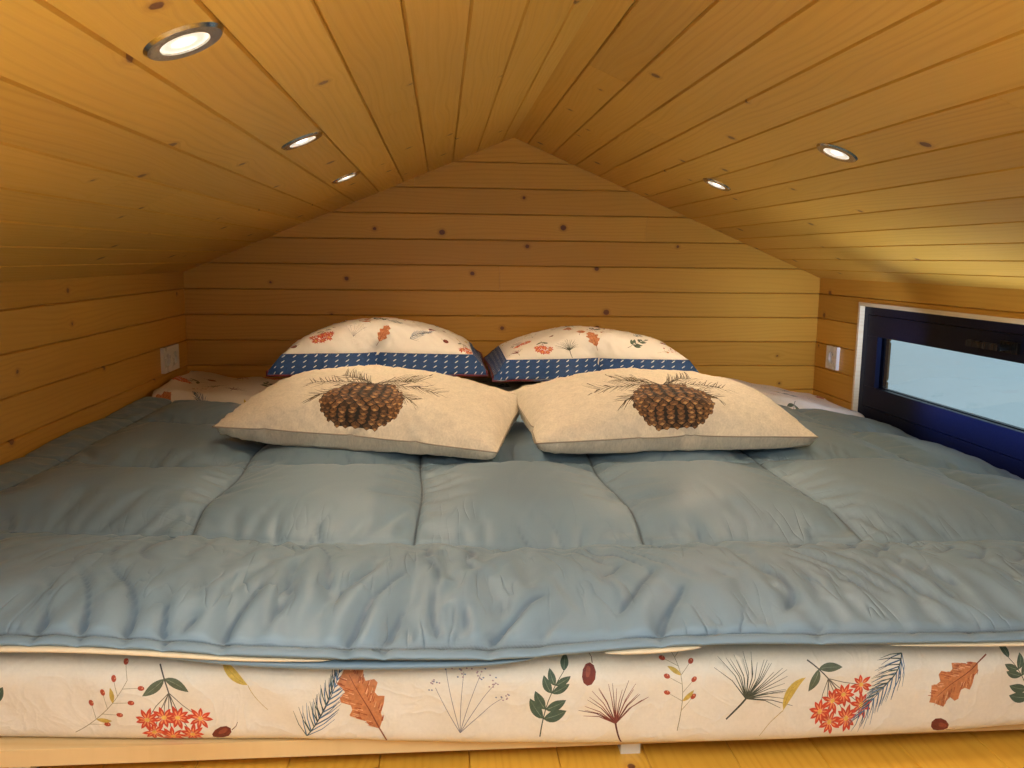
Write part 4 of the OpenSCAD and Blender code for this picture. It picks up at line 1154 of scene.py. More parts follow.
def hem_strip(name, x0, x1, drop, back, reach, height, mat):
    """A flattened roll of cloth under the quilt's front edge, thin at both its ends."""
    xs = np.linspace(x0, x1, 60)
    full = np.sin(np.linspace(0, math.pi, 60)) ** 0.5 + 0.02
    y = np.full(60, QUILT_FOOT + back) + bow_back(xs, np.full(60, QUILT_FOOT))
    z = quilt_under(xs, np.full(60, QUILT_FOOT)) - drop * full
    a = np.linspace(0, 2 * math.pi, 12, endpoint=False)
    ring = np.stack([np.repeat(xs[:, None], 12, 1), y[:, None] + reach * np.cos(a) * full[:, None],
                     z[:, None] + height * np.sin(a) * full[:, None]], -1)
    faces = [(i * 12 + k, (i + 1) * 12 + k, (i + 1) * 12 + (k + 1) % 12, i * 12 + (k + 1) % 12)
             for i in range(59) for k in range(12)]
    faces += [tuple(range(12)), tuple(59 * 12 + k for k in range(12))[::-1]]
    return link(name, mesh_from(name, ring.reshape(-1, 3), faces, True), mat)


# The quilt's foot edge, and the line of stitches that runs beside it
FOOT_EDGE = QUILT_FOOT + 0.012
STITCH = FOOT_EDGE + 0.006


def quilt_rows(near, far):
    """Grid lines across the quilt: so many to its first seam, and so many from there to its head."""
    first = np.linspace(STITCH, SEAM_Y[0], near)
    rest = np.linspace(SEAM_Y[0], QUILT_HEAD, far)[1:]
    return snap(np.concatenate([[FOOT_EDGE, FOOT_EDGE + 0.003], first, rest]), SEAM_Y[1:])


def quilt_swell(gx, gy):
    """From 0 on the seams to 1 in the middle of a field."""
    across = np.abs(np.sin(math.pi * (gy - SEAM_Y[0]) / SEAM_PITCH_Y))
    along = np.abs(np.sin(math.pi * (gx - SEAM_X[0]) / SEAM_PITCH_X))
    front = np.sin(math.pi * np.clip((gy - STITCH) / (SEAM_Y[0] - STITCH), 0, 1))
    return np.sqrt(np.where(gy < SEAM_Y[0], front, across * along))


def puffed_quilt():
    """The quilt's top, blown up between its seams: its grid lines and its points."""
    xs, ys = snap(np.linspace(-BED_HALF, BED_HALF, 250), SEAM_X), quilt_rows(52, 94)
    gx, gy = np.meshgrid(xs, ys)
    base = quilt_base(gx, gy)
    wig = ripples(61, 50, 0.035, 0.12)(gx, gy)
    puff = quilt_swell(gx, gy)
    z = base + puff * (0.012 + wig * np.where(gy < SEAM_Y[0], 0.0028, 0.0008))
    off_x = 0.0035 * ripples(62, 5, 0.25, 0.9, along=1)(gx, gy) * (np.abs(gx) < BED_HALF)
    off_y = 0.003 * ripples(63, 5, 0.25, 0.9)(gx, gy) * (gy > STITCH)
    points = np.stack([gx + off_x, gy + off_y, z], -1)
    points[..., 1] += quilt_shift(gx, gy)
    nx, ny = len(xs), len(ys)
    pin = np.zeros((ny, nx), bool)
    pin[[0, 1, 2, -1]] = pin[:, [0, -1]] = True
    seam_rows = [int(np.argmin(abs(ys - s))) for s in SEAM_Y]
    pin[seam_rows] = True
    for s in SEAM_X:
        pin[seam_rows[0]:, np.argmin(abs(xs - s))] = True
    weights = ease((SEAM_Y[0] + 0.04 - gy) / 0.08).ravel()
    pinned = np.nonzero(pin.ravel())[0]
    out = run_cloth(points.reshape(-1, 3), grid_faces(nx, ny), pinned, 1.2, (-0.02, -0.075), 0.25,
                    shrink_weights=weights)
    points = out.reshape(ny, nx, 3)
    rise = points[..., 2] - base
    cap = np.where(gy < SEAM_Y[0], 0.034, 0.026)
    points[..., 2] = base + np.where(rise > cap, cap + (rise - cap) * 0.5, rise)
    return xs, ys, points


def rolled_edge(high, low, reach):
    """Lines of points round an edge, from the top one to the one beneath it."""
    lines = []
    for a in np.linspace(0.5 * math.pi, -0.5 * math.pi, 10)[1:-1]:
        line = (high + low) / 2
        line[:, 2] += (high[:, 2] - low[:, 2]) / 2 * math.sin(a)
        line[:, 1] += reach * math.cos(a)
        lines.append(line)
    return lines


def quilt_underside(xs):
    """Lines of points just above the bed, from the quilt's head to its foot."""
    runs = [(QUILT_HEAD, DUVET_FOOT + 0.03, 8), (DUVET_FOOT, DUVET_FOOT - 0.06, 4),
            (DUVET_FOOT - 0.12, MAT_LO[1] + 0.06, 5), (MAT_LO[1] + 0.045, FOOT_EDGE, 6)]
    lines = []
    for y in np.concatenate([np.linspace(*run) for run in runs]):
        at = np.full(len(xs), y)
        lines.append(np.stack([xs, at + quilt_shift(xs, at), quilt_under(xs, at) + 0.0004], -1))
    return lines


def make_quilt(above):
    sheet = Sheet(*puffed_quilt())
    fine_x, fine_y = snap(np.linspace(-BED_HALF, BED_HALF, 400), SEAM_X), quilt_rows(74, 124)
    fx, fy = np.meshgrid(fine_x, fine_y)
    points = sheet.at(fx.ravel(), fy.ravel()).reshape(*fx.shape, 3)
    to_cross = np.min([np.abs(fy - s) for s in SEAM_Y + [STITCH]], 0)
    to_long = np.min([np.abs(fx - s) for s in SEAM_X], 0) + np.where(fy < SEAM_Y[0], 1.0, 0.0)
    front = ease((SEAM_Y[0] - fy) / 0.01)
    near_cross = np.exp(-to_cross / 0.070) * (0.50 + 0.45 * front) + 0.42 * front + 0.05
    near_long = 0.45 * np.exp(-to_long / 0.05)
    start = np.minimum(to_cross, to_long) / 0.012
    folds = near_cross * creases(fx, fy, 0.047, 3.3) + near_long * creases(fy, fx, 0.052, 8.1)
    folds = ease(start) * folds
    points[..., 2] += 0.0085 * folds
    points[..., 2] -= 0.0035 * (np.exp(-(to_cross / 0.004) ** 2) + np.exp(-(to_long / 0.004) ** 2))
    under_here = quilt_under(fx, fy)
    points[..., 2] = np.maximum(points[..., 2], under_here + 0.004)
    points = rest_under(above, points, 0.0012)
    nx = len(fine_x)
    under = quilt_underside(fine_x)
    edge = rolled_edge(points[-1], under[0], 0.008)
    binding = rolled_edge(points[0], under[-1], -0.012)[::-1]
    rings = list(points) + edge + under + binding
    verts = np.concatenate(rings)
    count = len(rings)
    faces = grid_faces(nx, count).tolist()
    last = (count - 1) * nx
    faces += [[last + i, last + i + 1, i + 1, i] for i in range(nx - 1)]
    faces.append([j * nx for j in range(count)])
    faces.append([j * nx + nx - 1 for j in range(count)][::-1])
    mesh = mesh_from("quilt_cover", verts, faces, smooth=True)
    # The fold attribute and the third part of the cloth attribute also place the quilt material's painted
    # shade in creases and stitched lines and its painted highlight on crease ridges.
    fold = np.zeros((len(verts), 3), np.float32)
    cloth = np.zeros((len(verts), 3), np.float32)
    n = fx.size
    fold[:n, 0] = (near_cross * ease(to_cross / 0.006)).ravel()
    fold[:n, 1] = (near_long * ease(to_long / 0.006)).ravel()
    fold[:n, 2] = (1 - np.minimum(to_cross, to_long) / 0.02).clip(0, 1).ravel()
    cloth[:n, 0], cloth[:n, 1], cloth[:n, 2] = fx.ravel(), fy.ravel(), folds.ravel()
    cloth[n:, :2] = verts[n:, :2]
    store(mesh, "fold", fold)
    store(mesh, "cloth", cloth)
    piece = link("quilt_cover", mesh, quilt_satin, ["quilt"])
    hem_strip("quilt_reverse_left", -BED_HALF + 0.002, -0.38, 0.0020, 0.004, 0.0070, 0.0034, reverse_cloth)
    hem_strip("quilt_reverse_right", -0.05, 0.07, 0.0016, 0.004, 0.0065, 0.0030, reverse_cloth)
    hem_strip("quilt_reverse_end", 0.31, BED_HALF - 0.002, 0.0016, 0.004, 0.0065, 0.0030, reverse_cloth)
    hem_strip("quilt_under_hem", -0.66, -0.13, 0.0085, 0.010, 0.0080, 0.0050, quilt_satin)


def make_duvet(above):
    lo, hi = DUVET_LO, DUVET_HI
    xs = np.linspace(lo[0], hi[0], 130)
    tucked = QUILT_HEAD - 0.1
    ys = np.concatenate([np.linspace(lo[1], tucked, 14)[:-1], np.linspace(tucked, hi[1], 52)])
    gx, gy = np.meshgrid(xs, ys)
    edge = np.minimum(np.minimum(gx - lo[0], hi[0] - gx) / 0.03, np.minimum(gy - lo[1], hi[1] - gy) / 0.03)
    round_off = np.sqrt(np.clip(1 - (1 - np.clip(edge, 0, 1)) ** 2, 0, 1))
    rise = DUVET_T * (0.3 + 0.7 * ease((gy - lo[1]) / DUVET_RAMP)) + (DUVET_HEAD_T - DUVET_T) * ease(
        (gy - QUILT_HEAD + 0.03) / 0.07) * (0.5 + 0.5 * ease((GABLE - gy) / 0.06))
    folds = ripples(71, 7, 0.12, 0.4)(gx, gy) * 0.004 * ease((gy - QUILT_HEAD) / 0.08)
    low = MAT_TOP + REST - side_fall(gx, gy)
    top = np.stack([gx, gy, low + (rise - 0.004 + folds) * round_off], -1)
    top = rest_under(above, top, 0.0010)
    top[..., 2] = np.maximum(top[..., 2], low + 0.0008 * (edge > 0))
    bottom = np.stack([gx, gy, low], -1)
    art = Print(72, (lo[0] + 0.002, QUILT_HEAD - 0.08), (hi[0] - 0.002, hi[1] - 0.002))
    art.fill((lo[0], QUILT_HEAD - 0.08), (hi[0], hi[1]), 0.13, 1.0)
    layers = [(xs, ys, art.shapes, CREAM, Sheet(xs, ys, top).at, False),
              (xs, ys, [], CREAM, Sheet(xs, ys, bottom).at, True)]
    piece = printed("duvet_cover", layers, print_cloth, ["duvet"])


def make_mattress():
    lo, hi = MAT_LO, MAT_HI
    y_foot, y_head, z0, z1 = lo[1], hi[1], lo[2], hi[2]
    r_low, r_high, r_back = 0.020, 0.036, 0.02
    quarter = math.pi / 2

    def corner(y, z, r, to_y, to_z, first, last, count):
        """Points of a rounded edge about (y, z), on the side that to_y and to_z point to."""
        turns = np.linspace(first, last, count)
        return [(y + to_y * r * math.cos(a), z + to_z * r * math.sin(a)) for a in turns]

    path = [(y_head - r_back, z0), (y_foot + r_low, z0)]
    path += corner(y_foot + r_low, z0 + r_low, r_low, -1, -1, quarter - 0.15, 0, 8)
    path += [(y_foot, z) for z in np.linspace(z0 + r_low + 0.006, z1 - r_high - 0.006, 6)]
    path += corner(y_foot + r_high, z1 - r_high, r_high, -1, 1, 0, quarter, 10)
    path += [(y, z1) for y in np.linspace(y_foot + 0.12, y_head - 0.06, 14)]
    path += corner(y_head - r_back, z1 - r_back, r_back, 1, 1, quarter, 0, 5)
    path += corner(y_head - r_back, z0 + r_back, r_back, 1, -1, 0, quarter, 5)
    path = np.array(path)
    run = np.concatenate([[0], np.cumsum(np.linalg.norm(np.diff(path, axis=0), axis=1))])
    s0 = run[1] - 0.02
    s1 = run[1] + 0.20
    vs = np.concatenate([np.linspace(0, s0, 6)[:-1], np.arange(s0, s1, 0.006), np.linspace(s1, run[-1], 34)])
    ends = np.array([0, 0.002, 0.006, 0.012, 0.02, 0.03])
    us = np.concatenate([lo[0] + ends, np.linspace(lo[0] + 0.04, hi[0] - 0.04, 170), hi[0] - ends[::-1]])
    soft = ripples(81, 10, 0.09, 0.35, 0.9)
    fine = ripples(82, 12, 0.03, 0.08, 1.2)

    def place(u, v):
        y, z = np.interp(v, run, path[:, 0]), np.interp(v, run, path[:, 1])
        d = np.minimum(u - lo[0], hi[0] - u)
        inset = 0.03 - np.sqrt(np.clip(0.03 ** 2 - np.clip(0.03 - d, 0, 0.03) ** 2, 0, None))
        face = np.exp(-((v - (run[1] + 0.075)) / 0.05) ** 2)
        y = y - face * (0.004 + 0.0022 * soft(u, v) + 0.0007 * fine(u, v))
        y = np.clip(y, y_foot + inset - 0.009, y_head - inset)
        z = np.clip(z, z0 + inset * 0.5, z1 - inset)
        y = y + bow_back(u, y)
        overhang = ease((SLAT_FOOT - 0.002 - y) / 0.014) * (1 - ease((z - z0) / 0.06))
        z = z - 0.014 * np.exp(-((u - 0.2) / 0.55) ** 2) * overhang
        return np.stack([u, y, z], -1)

    art = Print(83, (lo[0] + 0.032, run[1] - 0.015), (hi[0] - 0.032, run[1] + 0.16))
    mid = run[1] + 0.072
    art.scatter([
        ("frond", -0.80, mid - 0.03, 0.3, 1.0), ("spray", -0.70, mid - 0.045, -0.5, 1.0),
        ("bunch", -0.585, mid - 0.045, 0.1, 1.0), ("seed", -0.52, mid - 0.045, 0.4, 1.0),
        ("curl", -0.485, mid + 0.02, 0.5, 1.0), ("blue", -0.415, mid - 0.045, -0.45, 1.0),
        ("lobed", -0.325, mid - 0.035, 0.5, 1.1), ("heads", -0.225, mid - 0.04, -0.2, 1.0),
        ("frond", -0.125, mid - 0.045, -0.35, 1.0), ("seed", -0.065, mid + 0.03, 1.2, 1.0),
        ("rust", -0.03, mid - 0.03, 0.2, 1.1), ("spray", 0.05, mid - 0.04, 0.35, 1.0),
        ("pine", 0.135, mid - 0.005, -0.6, 1.1), ("curl", 0.185, mid - 0.02, -0.9, 1.0),
        ("bunch", 0.265, mid - 0.03, 0.6, 0.95), ("blue", 0.345, mid + 0.045, 2.5, 0.95),
        ("seed", 0.40, mid - 0.045, -0.6, 1.0), ("lobed", 0.445, mid + 0.03, 2.2, 1.0),
        ("frond", 0.53, mid - 0.04, 0.5, 1.0), ("rust", 0.61, mid, -0.6, 1.0),
        ("heads", 0.67, mid - 0.03, 0.3, 1.0)])
    layers = [(us, vs, art.shapes, CREAM, place, False)]
    piece = printed("mattress_cover", layers, print_cloth, ["mattress"])
    rework(piece.data, join_rims, close_rims, face_out)


# Outside boards, and the materials of the solids

LAP = 0.132


def clad(name, node, seed, mat, face, along, out, start, end, cuts, hole=None):
    """Horizontal boards over one outside face, each lapped over the one below."""
    b = Boards(seed)
    lo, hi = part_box(node)
    thick = (hi[0] - lo[0]) if abs(out.x) > 0.5 else (hi[1] - lo[1])
    profile = [(0.0, -thick), (0.0, -0.004), (0.005, 0.0), (LAP - 0.006, 0.0), (LAP - 0.0003, -0.006),
               (LAP - 0.0003, -thick)]
    z = lo[2]
    while z < hi[2]:
        for s0, s1, these in around(hole, z, LAP, start, end, cuts):
            b.board(face + along * s0 + Z * z, along, Z, out, s1 - s0, LAP, thick, these, profile=profile)
        z += LAP
    b.make(name, mat, [node])


def member(along, across, deep, tilt=0.0):
    """Wood coordinates in the object's own space, for timbers that run one way."""
    def coords(p):
        x, y, z = p.split(p.place())
        if tilt:
            side = p.math("ABSOLUTE", x)
            c, s = math.cos(tilt), math.sin(tilt)
            run = p.minus(p.mul(side, c), p.mul(z, s))
            lift = p.plus(p.mul(side, s), p.mul(z, c))
            x, z = run, lift
        axes = {"x": x, "y": y, "z": z}
        block = p.math("FLOOR", p.mul(axes[deep], 2.2))
        shifted = p.plus(axes[along], p.mul(block, 3.7))
        board = p.xyz(shifted, axes[across], p.mul(block, 1.9))
        tone = p.add("TexWhiteNoise", ins={"Vector": p.xyz(block, 0.3, 0.7)})
        return board, tone
    return coords


def metal(name, color, rough, metallic, streak, dirt=0.35, shine=0.5):
    """Coated or bare metal with fine brushing, faint streaks and small scuffs."""
    p = Paint(name)
    here = p.place()
    lines = p.noise(p.stretch(here, streak), 6.0, 4.0, 0.65)
    cloud = p.noise(here, 5.0, 3.0, 0.6)
    speck = p.noise(here, 420.0, 2.0, 0.6)
    wear = p.mul(p.smooth(cloud, 0.45, 0.75), p.smooth(lines, 0.4, 0.7))
    pale = tuple(min(1.0, v * 1.5 + 0.02) for v in color)
    specked = p.mix(p.span(speck, 0.35, 0.65), scaled(color, 0.72), color)
    shade = p.mix(p.mul(wear, dirt), specked, pale)
    roughness = p.plus(p.span(lines, 0.3, 0.7, rough - 0.08, rough + 0.08), p.mul(wear, 0.12))
    height = p.plus(p.mul(lines, 0.2), p.mul(speck, 0.3))
    return p.finish(Base_Color=shade, Roughness=roughness, Metallic=metallic, Specular_IOR_Level=shine,
                    Normal=p.bump(height, 0.12, 0.0006))


def plastic(name, color, rough=0.35):
    p = Paint(name)
    here = p.place()
    cloud = p.noise(here, 24.0, 3.0)
    fine = p.noise(here, 1900.0, 2.0)
    shade = p.mix(p.span(cloud, 0.3, 0.7), scaled(color, 0.95), color)
    return p.finish(Base_Color=shade, Roughness=p.span(cloud, 0.3, 0.7, rough - 0.04, rough + 0.06),
                    Normal=p.bump(fine, 0.08, 0.0003), Specular_IOR_Level=0.5)


def glow(name, color, strength):
    """Lamp lenses: a hot middle, a dimmer ribbed reflector round it, and a bright lip."""
    p = Paint(name)
    x, y, _ = p.split(p.place())
    turns = p.math("DIVIDE", p.minus(GABLE, y), LAMP_PITCH)
    off_y = p.mul(p.minus(p.math("FRACT", p.plus(turns, 0.5)), 0.5), LAMP_PITCH)
    off_x = p.math("DIVIDE", p.minus(p.math("ABSOLUTE", x), LAMP_X), math.cos(SLOPE))
    out = p.math("SQRT", p.plus(p.mul(off_x, off_x), p.mul(off_y, off_y)))
    ribs = p.math("SINE", p.mul(p.math("ARCTAN2", off_y, off_x), 14.0))
    hot = p.smooth(out, 0.015, 0.006, 0.0, strength)
    lip = p.smooth(out, 0.019, 0.023, 0.0, 0.5)
    level = p.plus(p.plus(hot, lip), p.span(ribs, -1.0, 1.0, 0.42, 0.62))
    return p.finish(Base_Color=(0.80, 0.78, 0.72), Roughness=0.3, Emission_Color=color,
                    Emission_Strength=level)


def glass(name):
    p = Paint(name)
    here = p.place()
    haze = p.noise(here, 7.0, 3.0)
    return p.finish(Base_Color=(0.50, 0.73, 0.84), Roughness=p.span(haze, 0.4, 0.8, 0.0, 0.03),
                    Transmission_Weight=1.0, IOR=1.45, Normal=p.bump(p.noise(here, 1.2, 1.0), 0.05, 0.002))


def woven(name, pitch, rough, sheen, depth, crease):
    """Printed cloth: threads over and under in the cloth's own coordinates, uneven dye and small creases."""
    p = Paint(name)
    cloth = p.attribute("cloth", 1)
    here = p.place()
    u, v, _ = p.split(cloth)
    k = 2 * math.pi / pitch
    thread = p.mul(p.math("SINE", p.mul(u, k)), p.math("SINE", p.mul(v, k)))
    slub = p.noise(p.stretch(cloth, (30.0, 700.0, 0.0)), 1.0, 3.0, 0.6)
    cloud = p.noise(here, 14.0, 4.0, 0.6)
    base = p.attribute("print", 0)
    red, _, blue = p.add("SeparateColor", ins={0: base}).node.outputs
    ink = p.smooth(p.math("MINIMUM", red, blue), 0.72, 0.45)
    wash = p.noise(cloth, 230.0, 4.0, 0.65)
    tide = p.noise(cloth, 60.0, 3.0, 0.6)
    level = p.plus(p.span(wash, 0.3, 0.7, 0.80, 1.22), p.span(tide, 0.3, 0.7, -0.12, 0.16))
    base = p.mix(ink, base, p.mix(1.0, base, p.grey(level), "MULTIPLY"))
    shade = p.span(p.plus(cloud, p.mul(slub, 0.35)), 0.4, 0.95, 0.94, 1.03)
    base = p.mix(1.0, base, p.grey(shade), "MULTIPLY")
    height = p.plus(p.mul(thread, 0.5), p.mul(slub, 0.9))
    lines = p.noise(p.stretch(here, (1.0, 0.55, 1.0)), 16.0, 3.0, 0.5, 0.8)
    ridge = p.minus(1.0, p.math("ABSOLUTE", p.span(lines, 0.35, 0.65, -1.0, 1.0)), clamp=True)
    normal = p.bump(p.math("POWER", ridge, 3.0), crease, 0.004, p.bump(height, depth, 0.0005))
    return p.finish(Base_Color=base, Roughness=p.span(slub, 0.3, 0.7, rough - 0.05, rough + 0.06),
                    Sheen_Weight=sheen, Sheen_Roughness=0.4, Normal=normal)


def satin(name, colour):
    """The quilt's close-woven cover: a soft shine, creases that leave its seams, and stitched lines; painted
    shade darkens the creases and stitched lines, and a painted highlight lightens the crease ridges.
    """
    p = Paint(name)
    here = p.place()
    cloth = p.attribute("cloth", 1)
    from_cross, from_long, seam = p.split(p.attribute("fold", 1))

    def creased(factors, reach):
        lines = p.noise(p.stretch(cloth, factors), 1.0, 1.5, 0.45, 0.3)
        off = p.math("ABSOLUTE", p.minus(lines, 0.5))
        valley = p.math("EXPONENT", p.mul(off, -34.0))
        parts = p.smooth(p.noise(p.stretch(cloth, (11.0, 9.0, 0.0)), 1.0, 1.0), 0.44, 0.66)
        return p.mul(valley, p.mul(parts, reach))

    cloud = p.noise(here, 4.0, 3.0, 0.55)
    grain = p.noise(p.stretch(here, (1.0, 6.0, 1.0)), 320.0, 2.0, 0.6)
    fold = p.plus(creased((34.0, 7.0, 0.0), from_cross), creased((7.0, 28.0, 0.0), from_long), clamp=True)
    u, v, rise = p.split(cloth)
    pulls = p.math("ABSOLUTE", p.math("SINE", p.mul(p.plus(u, v), math.pi / 0.0045)))
    stitch_groove_shade = p.mul(p.smooth(seam, 0.80, 0.97), p.span(pulls, 0.0, 1.0, 0.82, 1.0))
    shade = p.mix(p.span(cloud, 0.3, 0.7), scaled(colour, 0.93), scaled(colour, 1.06))
    shade = p.mix(p.span(grain, 0.3, 0.7, 0.0, 0.08), shade, scaled(colour, 0.6))
    # Painted shade: the crease valleys and crease lines get a darker, bluer colour, standing for the shade
    # in the folds.
    crease_shade_colour = tuple(c * f for c, f in zip(colour, (0.44, 0.53, 0.64)))
    shade = p.mix(p.smooth(rise, -0.02, -0.50, 0.0, 0.80), shade, crease_shade_colour)
    shade = p.mix(p.mul(fold, 0.35), shade, crease_shade_colour)
    # Painted highlight: the tops of the crease ridges get a lighter colour, standing for light falling on
    # them.
    shade = p.mix(p.smooth(rise, 0.10, 0.36, 0.0, 0.55), shade, scaled(colour, 1.18))
    # Painted shade: the stitched lines are darkened in the colour, standing for shade in their grooves; the
    # same mask also presses them in through the bump.
    shade = p.mix(p.mul(stitch_groove_shade, 0.75), shade, scaled(colour, 0.25))
    rough = p.plus(p.span(grain, 0.3, 0.7, 0.42, 0.50), p.span(cloud, 0.3, 0.7, -0.03, 0.04))
    height = p.plus(p.mul(fold, -0.8), p.mul(stitch_groove_shade, -0.8))
    normal = p.bump(height, 0.9, 0.0030)
    normal = p.bump(grain, 0.04, 0.0004, normal)
    return p.finish(Base_Color=shade, Roughness=rough, Sheen_Weight=0.06, Sheen_Roughness=0.35,
                    Normal=normal)


# Dressing the solids

def paint(mat, *names):
    for node_name in names:
        obj = NODES[node_name]
        obj.data.materials.clear()
        obj.data.materials.append(mat)




def timber(name, axes, tones, *nodes, tilt=0.0):
    """Paints timbers whose grain runs along the first axis and across the second, parted on the third."""
    paint(wood(name, *tones, rough=(0.6, 0.8), coords=member(*axes, tilt), knot_share=0.45), *nodes)


SPRUCE = (0.60, 0.44, 0.25), (0.54, 0.37, 0.19), (0.38, 0.23, 0.10)
LARCH = (0.40, 0.25, 0.13), (0.32, 0.185, 0.088), (0.20, 0.10, 0.042)
SLAT_WOOD = (0.76, 0.55, 0.28), (0.70, 0.47, 0.21), (0.55, 0.33, 0.12)
CASING_WOOD = (0.80, 0.66, 0.42), (0.74, 0.57, 0.33), (0.58, 0.40, 0.20)
clad_wood = wood("larch_cladding", *LARCH, rough=(0.55, 0.75), knot_share=0.4)
timber("stud_side", "zxy", SPRUCE, "left_wall_studs", "right_wall_studs")
timber("stud_gable", "zyx", SPRUCE, "gable_studs")
timber("plate_side", "yxz", SPRUCE, "left_wall_plates", "right_wall_plates", "ridge_board")
timber("plate_gable", "xyz", SPRUCE, "gable_plates")
timber("joist", "xzy", SPRUCE, "floor_joists")
timber("rafter", "xzy", SPRUCE, "left_rafters", "right_rafters", tilt=SLOPE)
timber("deck_board", "yxz", SPRUCE, "left_roof_deck", "right_roof_deck")
timber("fascia_board", "yzx", LARCH, "left_fascia", "right_fascia")
timber("barge", "xzy", LARCH, "left_barge_board", "right_barge_board", tilt=SLOPE)
timber("slat", "xyz", SLAT_WOOD, "bed_slats")
timber("casing", "yzx", CASING_WOOD, "window_trim")
paint(plastic("painted_bearer", (0.80, 0.78, 0.73), 0.5), "bed_bearers")
paint(metal("standing_seam", (0.040, 0.043, 0.048), 0.42, 0.35, (1.0, 1.0, 1.0)),
      "left_roof_sheet", "right_roof_sheet", "ridge_cap")
# Window metal: the dark blue colour is partly the frame's own dark paint and partly painted blue light,
# standing for daylight falling on the frame.
paint(metal("window_metal", (0.007, 0.010, 0.030), 0.40, 0.0, (1.0, 30.0, 30.0), 0.1, 0.12),
      "window_frame", "window_sash", "window_sill")
paint(metal("handle_metal", (0.020, 0.020, 0.022), 0.28, 0.5, (1.0, 20.0, 1.0), 0.2), "window_handle")
paint(glass("window_pane"), "window_glass")
paint(metal("lamp_metal", (0.62, 0.60, 0.57), 0.20, 1.0, (40.0, 40.0, 40.0), 0.15), "lamp_rings")
paint(glow("lamp_glass", (1.0, 0.88, 0.70), 2.4), "lamp_lenses")
paint(plastic("socket_plastic", (0.78, 0.77, 0.73), 0.28), "left_socket", "right_socket")

frame_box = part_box("window_frame")
opening = (frame_box[0][1], frame_box[1][1], frame_box[0][2], frame_box[1][2])
slopes = [slope_cut(1, LINING), slope_cut(-1, LINING)]
side_lo, side_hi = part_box("left_wall_cladding")
for side, node_name in ((-1, "left_wall_cladding"), (1, "right_wall_cladding")):
    outer = side * abs(side_lo[0])
    clad(node_name.replace("cladding", "siding"), node_name, 51 + side, clad_wood, Vector((outer, 0, 0)), Y,
         side * X, side_lo[1], side_hi[1], slopes, opening if side > 0 else None)
gable_lo, gable_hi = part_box("gable_cladding")
clad("gable_siding", "gable_cladding", 54, clad_wood, Vector((0, gable_hi[1], 0)), X, Y, gable_lo[0],
     gable_hi[0], slopes)

print_cloth = woven("print_cotton", 0.0007, 0.62, 0.05, 0.25, crease=0.18)
canvas = woven("cushion_canvas", 0.0013, 0.72, 0.05, 0.45, crease=0.10)
piping_cloth = plastic("piping_cotton", (0.16, 0.018, 0.025), 0.6)
seam_cloth = plastic("seam_thread", (0.42, 0.36, 0.28), 0.7)
quilt_satin = satin("quilt_satin", (0.184, 0.282, 0.378))
reverse_cloth = plastic("quilt_reverse", (0.78, 0.66, 0.47), 0.7)

cushions = [make_cushion("left", -0.390, 0.965, 2.5, -14, 301),
            make_cushion("right", 0.262, 0.990, 0, 4, 302)]
pillows = [make_pillow("left", -0.433, 0.236, 311), make_pillow("right", 0.226, 0.210, 312)]
make_duvet(pillows)
make_quilt(cushions)
make_mattress()


# Camera, stage and lights

FOCAL_PIXELS, PHOTO_WIDTH = 840.214, 1024


def photo_camera():
    """The photograph's place and angle, solved from the room's lines."""
    at = Vector((-0.24797, GABLE - 2.97388, EAVE + 0.06003))
    yaw, pitch, roll = 0.0847786, 0.148892, 0.0115079
    ahead = Vector((math.sin(yaw) * math.cos(pitch), math.cos(yaw) * math.cos(pitch), -math.sin(pitch)))
    right = Vector((math.cos(yaw), -math.sin(yaw), 0))
    down = ahead.cross(right)
    c, s = math.cos(roll), math.sin(roll)
    right, down = c * right - s * down, c * down + s * right
    data = bpy.data.cameras.new("camera")
    data.sensor_width = 36.0
    data.lens = FOCAL_PIXELS / PHOTO_WIDTH * data.sensor_width
    data.clip_start = 0.02
    obj = bpy.data.objects.new("camera", data)
    turn = Matrix((right, -down, -ahead)).transposed().to_4x4()
    obj.matrix_world = Matrix.Translation(at) @ turn
    scene.collection.objects.link(obj)
    scene.camera = obj


def background_rays(tree):
    """1 for the rays that show the background: from the camera, through glass and off metal."""
    path = tree.nodes.new("ShaderNodeLightPath").outputs
    seen = path["Is Camera Ray"]
    for kind in ("Is Glossy Ray", "Is Transmission Ray"):
        either = tree.nodes.new("ShaderNodeMath")
        either.operation = "MAXIMUM"
        tree.links.new(seen, either.inputs[0])
        tree.links.new(path[kind], either.inputs[1])
        seen = either.outputs[0]
    return seen


def area(name, at, to, size, power, color):
    data = bpy.data.lights.new(name, "AREA")
    data.shape = "RECTANGLE"
    data.size, data.size_y = size
    data.energy = power
    data.color = color
    obj = bpy.data.objects.new(name, data)
    obj.location = at
    obj.rotation_euler = (Vector(to) - Vector(at)).to_track_quat("-Z", "Y").to_euler()
    scene.collection.objects.link(obj)
    return obj


def stage_floor():
    p = Paint("stage_floor")
    diffuse = p.add("BsdfDiffuse", ins={0: (0.80, 0.80, 0.80), 1: 1.0})
    far = p.smooth(p.add("VectorMath", out=1, ins={0: p.place()}, operation="LENGTH"), 4.0, 11.0)
    pale = p.add("Emission", ins={0: (1.0, 1.0, 1.0), 1: 1.0})
    blend = p.add("MixShader", ins={0: p.mul(far, background_rays(p.tree)), 1: diffuse, 2: pale})
    p.tree.links.new(blend, p.out.inputs[0])
    size = 30
    mesh = mesh_from("stage_floor", [(-size, -size, 0), (size, -size, 0), (size, size, 0), (-size, size, 0)],
                     [(0, 1, 2, 3)])
    mesh.materials.append(p.mat)
    obj = bpy.data.objects.new("stage_floor", mesh)
    obj.location.z = -0.0005
    scene.collection.objects.link(obj)


